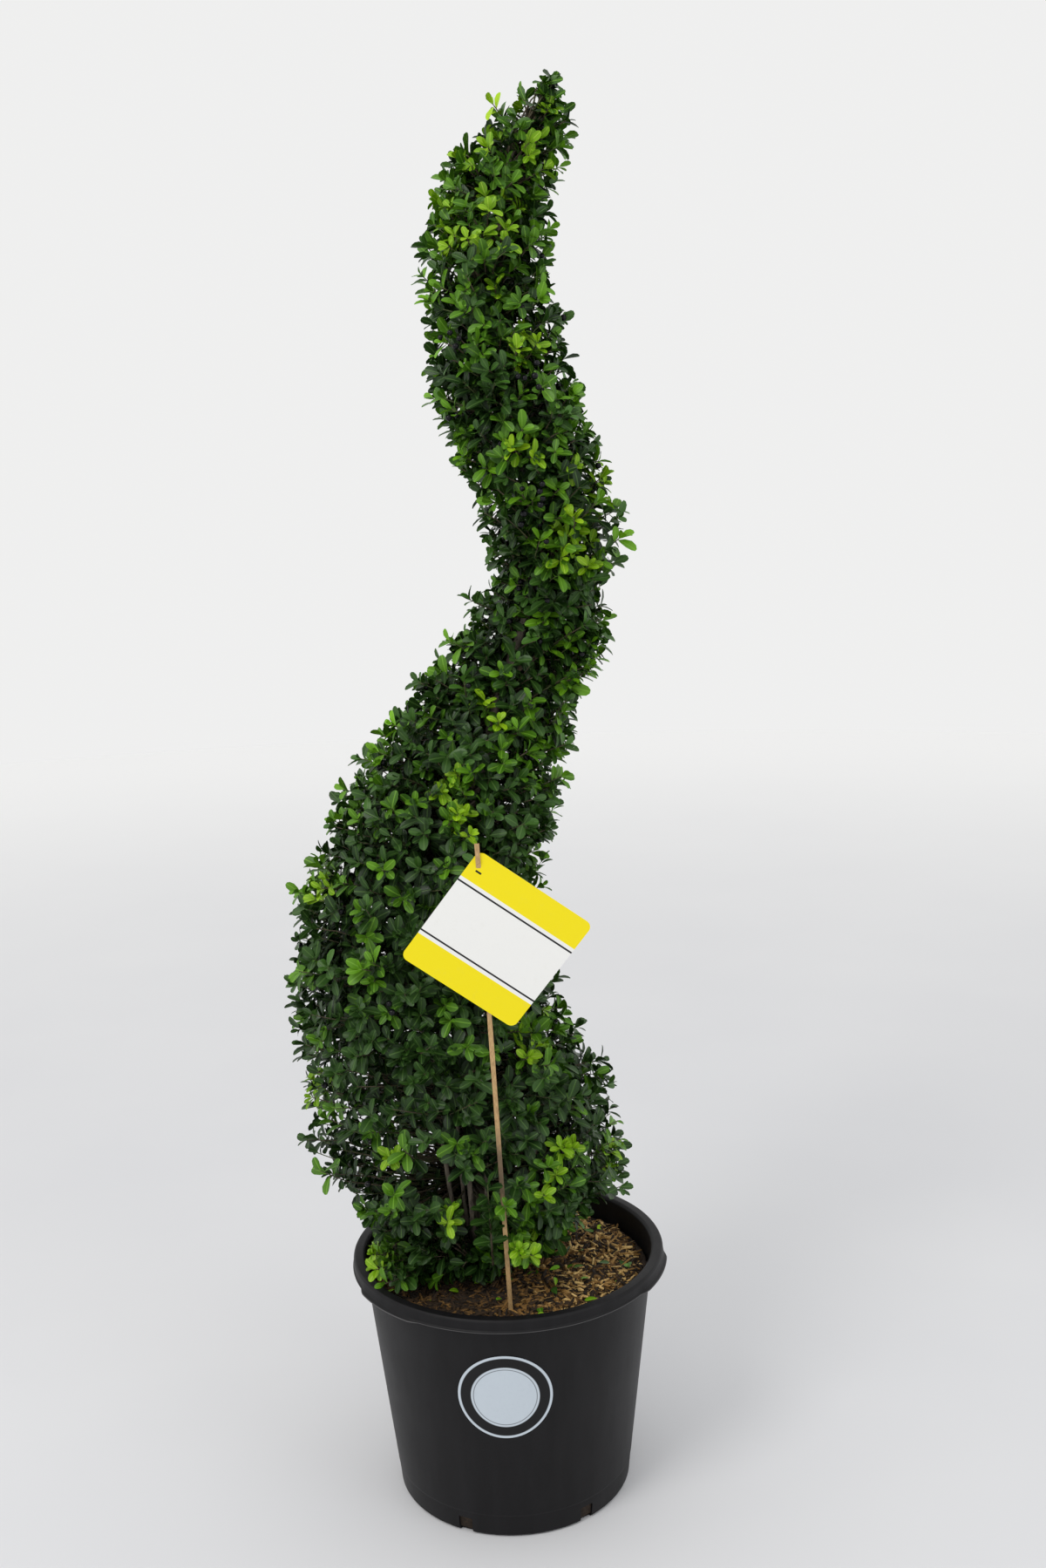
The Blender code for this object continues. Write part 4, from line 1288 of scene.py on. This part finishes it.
def cluster_places(low, high):
    """Places of the fruit in the clusters on the front, between two heights."""
    places = [np.zeros((0, 3))]
    for across, middle, count in CLUSTERS:
        if low <= middle < high:
            side = across + rng.normal(0, CLUSTER_SPREAD, count)
            height = middle + rng.normal(0, CLUSTER_SPREAD, count)
            x, y, width, depth, _, _ = strand(height)
            off = np.clip((side - x) / width, -0.95, 0.95)
            front = y - depth * np.sqrt(1 - off * off) * rng.uniform(0.94, 1.04, count)
            places.append(np.column_stack([side, front, height]))
    return np.concatenate(places)


def apart(places):
    """Drops fruit that would lie inside fruit before it."""
    kept = []
    for place in places:
        if all(np.linalg.norm(place - other) > 1.75 * FRUIT_RADIUS for other in kept[-40:]):
            kept.append(place)
    return np.array(kept).reshape(-1, 3)


def fruit_mesh(name, shoots, share_of_shoots, low, high):
    """Round fruit: the clusters between two heights, and the scattered ones."""
    middle = np.concatenate([cluster_places(low, high), fruit_places(*shoots, share_of_shoots)])
    good = clear_of_trunk(middle) & clear_of_labels(middle) & (outline_share(middle) < 0.99)
    middle = apart(middle[good & outside_hollows(middle)])
    size = FRUIT_RADIUS * rng.uniform(0.85, 1.12, len(middle))
    points = middle[:, None] + FRUIT.points[None] * size[:, None, None]
    return joined(name, FRUIT, points, rng.random(len(middle))), len(middle)


print("fruit", 2000 * FRUIT_RADIUS, "mm across")

# %% [markdown]
# A clipped plant is never quite even. Some sprigs have grown out of the outline since it was last
# cut, in short runs along its edges. A run says where its first and its last tip stand: the height,
# the bearing, and the reach, where one is the outline. Two shorter shoots stand beside each sprig.

# %% Sprigs beyond the outline
SPRIG_RUNS = (
    ((1.643, 85, 0.95), (1.636, 240, 0.70), 2),
    ((1.625, 190, 2.00), (1.625, 190, 2.00), 1),
    ((1.570, 205, 1.12), (1.500, 180, 0.90), 4),
    ((1.508, 5, 1.15), (1.488, 5, 1.20), 2),
    ((1.323, 148, 1.18), (1.294, 144, 1.13), 2),
    ((1.322, 30, 1.24), (1.322, 30, 1.24), 1),
    ((1.086, 200, 1.37), (0.944, 213, 1.26), 4),
    ((1.050, 327, 1.22), (0.820, 345, 1.05), 6),
    ((0.905, 205, 1.26), (0.796, 190, 1.03), 4),
    ((0.529, 0, 1.03), (0.529, 0, 1.03), 1),
    ((0.405, 350, 1.02), (0.372, 5, 1.15), 3),
    ((0.392, 264, 1.03), (0.392, 264, 1.03), 1),
    ((0.358, 289, 1.31), (0.350, 294, 1.38), 2),
    ((0.328, 223, 1.21), (0.306, 237, 1.50), 3),
)
BESIDE = 3
SPRIG_RISE = 0.035
SPRIG_FLOOR = 0.292
RISING_FOOT = (-0.016, -0.122, 0.330)
RISING_TIP = (-0.018, -0.150, 0.440)
RISING_STEPS = (1.0, 0.72, 0.44)


def sprig_tips():
    """The places of all the sprigs' tips."""
    rows = np.concatenate([np.linspace(first, last, count) for first, last, count in SPRIG_RUNS])
    height, bearing, reach = rows[:, 0], np.radians(rows[:, 1]), rows[:, 2]
    x, y, width, depth, _, _ = strand(height)
    return np.column_stack([
        x + width * reach * np.cos(bearing),
        y + depth * reach * np.sin(bearing),
        height,
    ])


def sprig_shoots(low, high):
    """Starts, bends and tips of the sprigs whose tips lie between two heights."""
    tips = sprig_tips()
    tip = np.repeat(tips[(tips[:, 2] >= low) & (tips[:, 2] < high)], BESIDE, axis=0)
    first = (np.arange(len(tip)) % BESIDE == 0)[:, None]
    heights = np.maximum(tip[:, 2] - SPRIG_RISE, SPRIG_FLOOR)
    x, y, _, _, _, _ = strand(heights)
    start = np.column_stack([x, y, heights])
    back = np.where(first, 0.0, rng.uniform(0.010, 0.028, (len(tip), 1)))
    aside = rng.normal(0, 0.007, tip.shape) * ~first
    tip = tip - unit(tip - start) * (back + LEAF_LENGTH * SHOOT_STOPS) + aside
    return start, (start + tip) / 2 - (0, 0, 0.008), tip


def rising_shoots():
    """One upright shoot in front, as three lengths on one line, so that it has leaves all the way."""
    foot, top = np.array(RISING_FOOT), np.array(RISING_TIP)
    tip = np.array([foot + (top - foot) * share for share in RISING_STEPS])
    start = np.repeat(foot[None], len(tip), axis=0)
    return start, (start + tip) / 2, tip


print("sprigs:", len(sprig_tips()))

# %% [markdown]
# Now every slice of the strand is grown: its leaves, its twigs and its fruit, each kind as a joined
# piece. In front of the stems, low on the left, the real plant has a dark gap with bare stems in
# it, so shoots that would close that gap are skipped.

# %% Grow the clipped crown
WINDOW = ((-0.085, -0.012), (0.315, 0.450))
THIN_LEFT_OF = -0.060
THIN_BELOW = 0.580
THIN_ABOVE = 1.590
THIN_SHARE = 0.52
PULLS = 3
PULL = 0.88
FRUIT_SHARES = {"foliage_top_left": 0.05, "foliage_upper_front": 0.10, "foliage_upper_right": 0.08}
FRUIT_SHARE = 0.03


def thinned(tips):
    """Whether tips are left out of the two open parts: low on the left, and at the very top."""
    open_left = (tips[:, 0] < THIN_LEFT_OF) & (tips[:, 2] < THIN_BELOW)
    open_top = tips[:, 2] > THIN_ABOVE
    return (open_left | open_top) & (rng.random(len(tips)) < THIN_SHARE)


def pulled_back(start, bend, tip):
    """Shoots that end in a hollow are pulled back out of it, and dropped where that isn't enough."""
    for _ in range(PULLS):
        inside = ~outside_hollows(tip)[:, None]
        bend = np.where(inside, start + (bend - start) * PULL, bend)
        tip = np.where(inside, start + (tip - start) * PULL, tip)
    keep = outside_hollows(tip)
    return start[keep], bend[keep], tip[keep]


def in_window(tips):
    """Whether tips lie in the gap that shows the stems."""
    (left, right), (low, high) = WINDOW
    across = (tips[:, 0] > left) & (tips[:, 0] < right)
    return across & (tips[:, 2] > low) & (tips[:, 2] < high) & (tips[:, 1] < 0.03)


def pieces_of(name, groups, low, high, fruit_share):
    """Leaves, twigs and fruit of one mass as three pieces, from groups of shoots."""
    start, bend, tip = pulled_back(*(np.concatenate(parts) for parts in zip(*groups)))
    frames = keep_leaves(leaf_frames(start, bend, tip, tint_of(tip)))
    plain = name.replace("foliage_", "")
    mesh = leaves_mesh("leaves", frames)
    finish_piece(f"leaves_{plain}", mesh, LEAF_FINISHES, [name])
    mesh = twigs_mesh("twigs", start, bend, tip)
    finish_piece(f"twigs_{plain}", mesh, [TWIG_BARK], [])
    mesh, fruits = fruit_mesh("fruit", (start, bend, tip), fruit_share, low, high)
    if fruits:
        finish_piece(f"fruit_{plain}", mesh, [FRUIT_SKIN], [])
    print(name, len(start), "shoots,", len(frames[0]), "leaves,", fruits, "fruit")


top = CROWN_TIP
for name, low in SLICES:
    start, bend, tip = slice_shoots(low, top)
    keep = ~in_window(tip) & ~thinned(tip)
    groups = [(start[keep], bend[keep], tip[keep]), sprig_shoots(low, top)]
    pieces_of(name, groups, low, top, FRUIT_SHARES.get(name, FRUIT_SHARE))
    top = low

# %% [markdown]
# Under the lowest slice, loose sprays hang out over the soil. They grow from their own boughs.

# %% Loose sprays at the foot
FOOT_SHOOTS = 95
FOOT_CEILING = 0.381


def foot_shoots(bearing):
    """Shoots of one loose spray, which leave its bough and lean outwards."""
    outward = np.array(outwards(bearing))
    base = np.array(trunk_point(0.293)) + 0.05 * outward + (0, 0, 0.012)
    count = FOOT_SHOOTS
    turn = np.radians(bearing + rng.uniform(-42, 42, count))
    way = np.column_stack([np.cos(turn), np.sin(turn), np.zeros(count)])
    height = rng.uniform(0.288, FOOT_CEILING, count)
    x, y, width, depth, _, _ = strand(height)
    reach = 1 / np.hypot(way[:, 0] / width, way[:, 1] / depth)
    share = np.sqrt(rng.uniform(0.08, 1, count))
    tip = np.column_stack([x, y, height]) + way * (reach * share)[:, None]
    start = base + outward * (rng.random((count, 1)) * 0.03)
    lift = np.column_stack([np.zeros((count, 2)), rng.uniform(-0.01, 0.02, count)])
    bend = (start + tip) / 2 + lift
    return start, bend, tip


for side, bearing in FOOT_BEARINGS.items():
    start, bend, tip = foot_shoots(bearing)
    keep = ~in_window(tip)
    groups = [(start[keep], bend[keep], tip[keep])]
    if side == "front":
        groups += [sprig_shoots(0, LOWEST_SLICE), rising_shoots()]
    pieces_of(f"foliage_foot_{side}", groups, 0, 0, 0)

# %% [markdown]
# The soil is a turned body whose top is rough, with chips, fibres and a few fallen leaves lying on
# it. The rough top is noise on the points of the turned disc, so the chips need only its height.

# %% Soil body
SOIL_FLAT = 0.130
SOIL_FALL = 0.006
SOIL_ROUGH = 0.0032
SOIL_EDGE = 0.169


def soil_height(x, y):
    """The height of the rough soil at a place."""
    away = math.hypot(x, y)
    fall = SOIL_FALL * max(0, (away - SOIL_FLAT) / (wall_radius(SOIL_TOP) - SOIL_FLAT))
    spot = Vector((x * 60, y * 60, 0.7))
    relief = noise.fractal(spot, 0.7, 2.1, 4) * SOIL_ROUGH
    return SOIL_TOP - fall - 0.0015 + relief


def make_soil():
    low = FLOOR + GAP
    edge = wall_radius(SOIL_TOP - SOIL_FALL) - POT_WALL - 0.0012
    profile = [(edge * number / 44, SOIL_TOP) for number in range(45)]
    profile += [(wall_radius(low) - POT_WALL - 0.0006, low), (0, low)]
    bm = lathe(profile, 132)
    for vert in bm.verts:
        if vert.co.z > SOIL_TOP - 0.001:
            vert.co.z = soil_height(vert.co.x, vert.co.y)
    return finish_piece("soil_body", mesh_of(bm, "soil_body"), [SOIL_GROUND], ["soil"])


soil = make_soil()
print(soil.name, len(soil.data.polygons), "faces")

# %% [markdown]
# Each chip is a flat block with its ends pinched and bent: twelve to twenty triangles. They lie at
# all bearings, tilted a little, and half sunk in each other.

# %% Chips and fibres on the soil
CHIP_COUNT = 4200
FIBRE_COUNT = 1400
# How dark the painted shade makes the chips on the left.
LEFT_SHADE_TONE = 0.55


def chip_shape():
    bm = bmesh.new()
    bmesh.ops.create_cube(bm, size=1)
    everything = [*bm.verts, *bm.edges, *bm.faces]
    bmesh.ops.bisect_plane(bm, geom=everything, plane_co=(0.06, 0, 0), plane_no=(1, 0, 0))
    for vert in bm.verts:
        if abs(vert.co.x) > 0.4:
            vert.co.y *= 0.55
            vert.co.z = vert.co.z * 0.5 - 0.25
    return Shape(bm)


CHIP = chip_shape()


def on_soil(count, lengths, widths, thicknesses, tilt):
    """Frames of pieces that lie on the soil: middle and three scaled axes."""
    long = rng.uniform(*lengths, count)
    radius = (SOIL_EDGE - long / 2) * np.sqrt(rng.random(count))
    bearing = rng.uniform(0, math.tau, count)
    x, y = radius * np.cos(bearing), radius * np.sin(bearing)
    z = np.array([soil_height(*pair) for pair in zip(x, y)])
    turn = rng.uniform(0, math.tau, count)
    way = unit(np.column_stack([np.cos(turn), np.sin(turn), rng.normal(0, tilt, count)]))
    face = unit(np.column_stack([rng.normal(0, tilt, (count, 2)), np.ones(count)]))
    side = unit(np.cross(way, face))
    face = np.cross(side, way)
    wide = rng.uniform(*widths, count)[:, None]
    thick = rng.uniform(*thicknesses, count)[:, None]
    middle = np.column_stack([x, y, z + thick[:, 0] * 0.5])
    return middle, np.stack([way * long[:, None], side * wide, face * thick], axis=1)


def make_chips(name, count, lengths, widths, thicknesses, tilt, bright):
    middle, axes = on_soil(count, lengths, widths, thicknesses, tilt)
    points = middle[:, None] + np.einsum("nk,mkj->mnj", CHIP.points, axes)
    tones = rng.random(count) ** bright
    # Painted shade: chips towards the left, under the low foliage, get a darker tone.
    out_of_shade = np.clip((middle[:, 0] + 0.03) / 0.11, 0, 1)
    mesh = joined(name, CHIP, points, tones * (LEFT_SHADE_TONE + (1 - LEFT_SHADE_TONE) * out_of_shade))
    return finish_piece(name, mesh, [SOIL_CHIPS], ["soil"])


chips = make_chips(
    "soil_chips", CHIP_COUNT, (0.007, 0.026), (0.0015, 0.0050), (0.0012, 0.0036), 0.32, 1.1
)
fibres = make_chips(
    "soil_fibres", FIBRE_COUNT, (0.015, 0.045), (0.0006, 0.0014), (0.0006, 0.001), 0.12, 0.6
)
print(chips.name, len(chips.data.polygons), "and", fibres.name, len(fibres.data.polygons), "faces")

# %% [markdown]
# A few clipped leaves have dropped on the soil, mostly fresh ones.

# %% Fallen leaves
FALLEN = 70


def make_fallen():
    middle, axes = on_soil(FALLEN, (0.009, 0.016), (0.005, 0.008), (0.009, 0.012), 0.34)
    order = np.stack([axes[:, 1], axes[:, 0], axes[:, 2]], axis=1)
    points = middle[:, None] + (0, 0, 0.001) + np.einsum("nk,mkj->mnj", LEAF.points, order)
    kinds = rng.choice(3, FALLEN, p=(0.25, 0.45, 0.30))
    mesh = joined("fallen_leaves", LEAF, points, rng.random(FALLEN), kinds, LEAF_FLAT)
    return finish_piece("fallen_leaves", mesh, LEAF_FINISHES, [])


fallen = make_fallen()
print(fallen.name, FALLEN, "leaves")

# %% [markdown]
# The label's stick is split cane, a little uneven along its length. The card hangs on it by one
# corner: a square sheet of stiff plastic with round corners, seen as a diamond.

# %% Stick and card
STICK_THROUGH = 0.945
BOW_FULL = 0.6
UNEVEN_STEPS = 60


def stick_bow(share):
    """How far the card pushes the stick back, which is not at its foot, and not at its top."""
    rise = min(1, share / BOW_FULL)
    fall = max(0, 1 - max(0, share - STICK_THROUGH) / 0.02)
    return STICK_BOW * rise * rise * (3 - 2 * rise) * fall


def make_stick():
    bm = bmesh.new()
    bmesh.ops.create_cube(bm, size=1)
    bmesh.ops.bevel(
        bm,
        geom=[e for e in bm.edges if abs(e.verts[0].co.z - e.verts[1].co.z) > 0.5],
        offset=0.12,
        segments=2,
        profile=0.5,
        affect="EDGES",
        material=-1,
    )
    for number in range(1, UNEVEN_STEPS):
        everything = [*bm.verts, *bm.edges, *bm.faces]
        height = number / UNEVEN_STEPS - 0.5
        bmesh.ops.bisect_plane(bm, geom=everything, plane_co=(0, 0, height), plane_no=UP)
    for vert in bm.verts:
        share = vert.co.z + 0.5
        middle = STICK_FOOT.lerp(STICK_TOP, share)
        wide = STICK_WIDTH * (1 + 0.10 * noise.noise(Vector((0, 0, share * 22))))
        thick = STICK_DEPTH * (1 - 0.12 * abs(noise.noise(Vector((4, 0, share * 30)))))
        vert.co = middle + Vector((vert.co.x * wide, vert.co.y * thick + stick_bow(share), 0))
    mesh = mesh_of(bm, "split_stick")
    return finish_piece("split_stick", mesh, [STICK_WOOD], ["label_stick"], sharp=50)


def make_card():
    bm = bmesh.new()
    bmesh.ops.create_cube(bm, size=1)
    bmesh.ops.scale(bm, vec=(CARD_SIDE, CARD_SIDE, CARD_THICKNESS), verts=bm.verts)
    upright = [e for e in bm.edges if abs(e.verts[0].co.z - e.verts[1].co.z) > CARD_THICKNESS / 2]
    bmesh.ops.bevel(
        bm, geom=upright, offset=CARD_CORNER, segments=8, profile=0.5, affect="EDGES", material=-1
    )
    layer = bm.loops.layers.uv.new("UVMap")
    for face in bm.faces:
        for loop in face.loops:
            loop[layer].uv = (loop.vert.co.x / CARD_SIDE + 0.5, loop.vert.co.y / CARD_SIDE + 0.5)
    bmesh.ops.rotate(bm, verts=bm.verts, matrix=Matrix.Rotation(math.radians(-CARD_TURN), 3, "Z"))
    out = Vector((1, 0, 0)).cross(STICK_TOP - STICK_FOOT).normalized()
    bmesh.ops.rotate(bm, verts=bm.verts, matrix=UP.rotation_difference(out).to_matrix())
    middle = stick_at(CARD_HEIGHT) + out * (STICK_DEPTH / 2 + GAP + CARD_THICKNESS / 2)
    middle.x = CARD_ACROSS
    middle.y += STICK_BOW
    bmesh.ops.translate(bm, vec=middle, verts=bm.verts)
    mesh = mesh_of(bm, "hanging_card")
    return finish_piece("hanging_card", mesh, [CARD_PRINT], ["label_card"], sharp=50)


stick = make_stick()
card = make_card()
print(stick.name, len(stick.data.polygons), "and", card.name, len(card.data.polygons), "faces")

# %% [markdown]
# A pale floor, a near-white room and large soft lights give the even studio look, with only faint
# shadows round the pot. The camera stands where the photograph was taken, a little above the
# middle of the plant and looking slightly down.

# %% Stage, light and camera
CAMERA_PLACE = Vector((0.0353, -1.754, 1.157))
CAMERA_DOWN = 9.41
CAMERA_ROLL = -1.76
FOCAL_PIXELS = 1750
PHOTO_HEIGHT = 1799
SENSOR = 36.0
FLOOR_RADIUS = 7.0
FLOOR_FADE = (0.6, 6.9)
FLOOR_FAR = (0.985, 0.985, 0.982)


def make_floor():
    bm = bmesh.new()
    bmesh.ops.create_circle(bm, cap_ends=True, segments=96, radius=FLOOR_RADIUS)
    floor = bpy.data.objects.new("floor", mesh_of(bm, "floor"))
    bpy.context.scene.collection.objects.link(floor)
    made = Finish("floor_paint", 0.75)
    cloud = made.noise(made.place(), 1.5, 3)
    near = made.ramp(cloud, ((0.3, (0.685, 0.690, 0.712)), (0.7, (0.715, 0.719, 0.736))))
    far = made.off_axis().soft(*FLOOR_FADE)
    made.colour(made.mix(far, near, FLOOR_FAR))
    floor.data.materials.append(made.material)


def add_light(name, place, target, size, power, colour):
    data = bpy.data.lights.new(name, "AREA")
    data.shape = "DISK"
    data.size = size
    data.energy = power
    data.color = colour
    lamp = bpy.data.objects.new(name, data)
    lamp.location = place
    lamp.rotation_mode = "QUATERNION"
    lamp.rotation_quaternion = (Vector(target) - Vector(place)).to_track_quat("-Z", "Y")
    bpy.context.scene.collection.objects.link(lamp)


def make_camera():
    data = bpy.data.cameras.new("camera")
    data.sensor_width = SENSOR
    data.lens = FOCAL_PIXELS / PHOTO_HEIGHT * SENSOR
    camera = bpy.data.objects.new("camera", data)
    camera.location = CAMERA_PLACE
    down = math.radians(CAMERA_DOWN)
    roll = math.radians(CAMERA_ROLL)
    ahead = Vector((0, math.cos(down), -math.sin(down)))
    level_up = Vector((0, math.sin(down), math.cos(down)))
    right = Vector((1, 0, 0)) * math.cos(roll) + level_up * math.sin(roll)
    above = -Vector((1, 0, 0)) * math.sin(roll) + level_up * math.cos(roll)
    camera.rotation_mode = "QUATERNION"
    camera.rotation_quaternion = Matrix((right, above, -ahead)).transposed().to_quaternion()
    bpy.context.scene.collection.objects.link(camera)
    bpy.context.scene.camera = camera


def make_room():
    world = bpy.data.worlds.new("room")
    bpy.context.scene.world = world
    world.use_nodes = True
    back = world.node_tree.nodes["Background"]
    back.inputs["Color"].default_value = (0.865, 0.865, 0.862, 1)
    back.inputs["Strength"].default_value = 1.0
    bpy.context.scene.view_settings.view_transform = "Standard"


make_floor()
make_room()
add_light("key", (-1.6, -2.0, 3.0), (0, 0, 1.0), 1.4, 42, (1.0, 0.98, 0.95))
add_light("fill", (2.2, -1.8, 1.9), (0, 0, 0.8), 1.6, 10, (0.95, 0.98, 1.0))
make_camera()
print("lens:", round(bpy.context.scene.camera.data.lens, 2), "mm")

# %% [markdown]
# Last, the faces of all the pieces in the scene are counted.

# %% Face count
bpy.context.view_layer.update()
faces = sum(len(piece.data.polygons) for piece in bpy.data.objects if piece.type == "MESH")
print("faces in the scene:", faces)
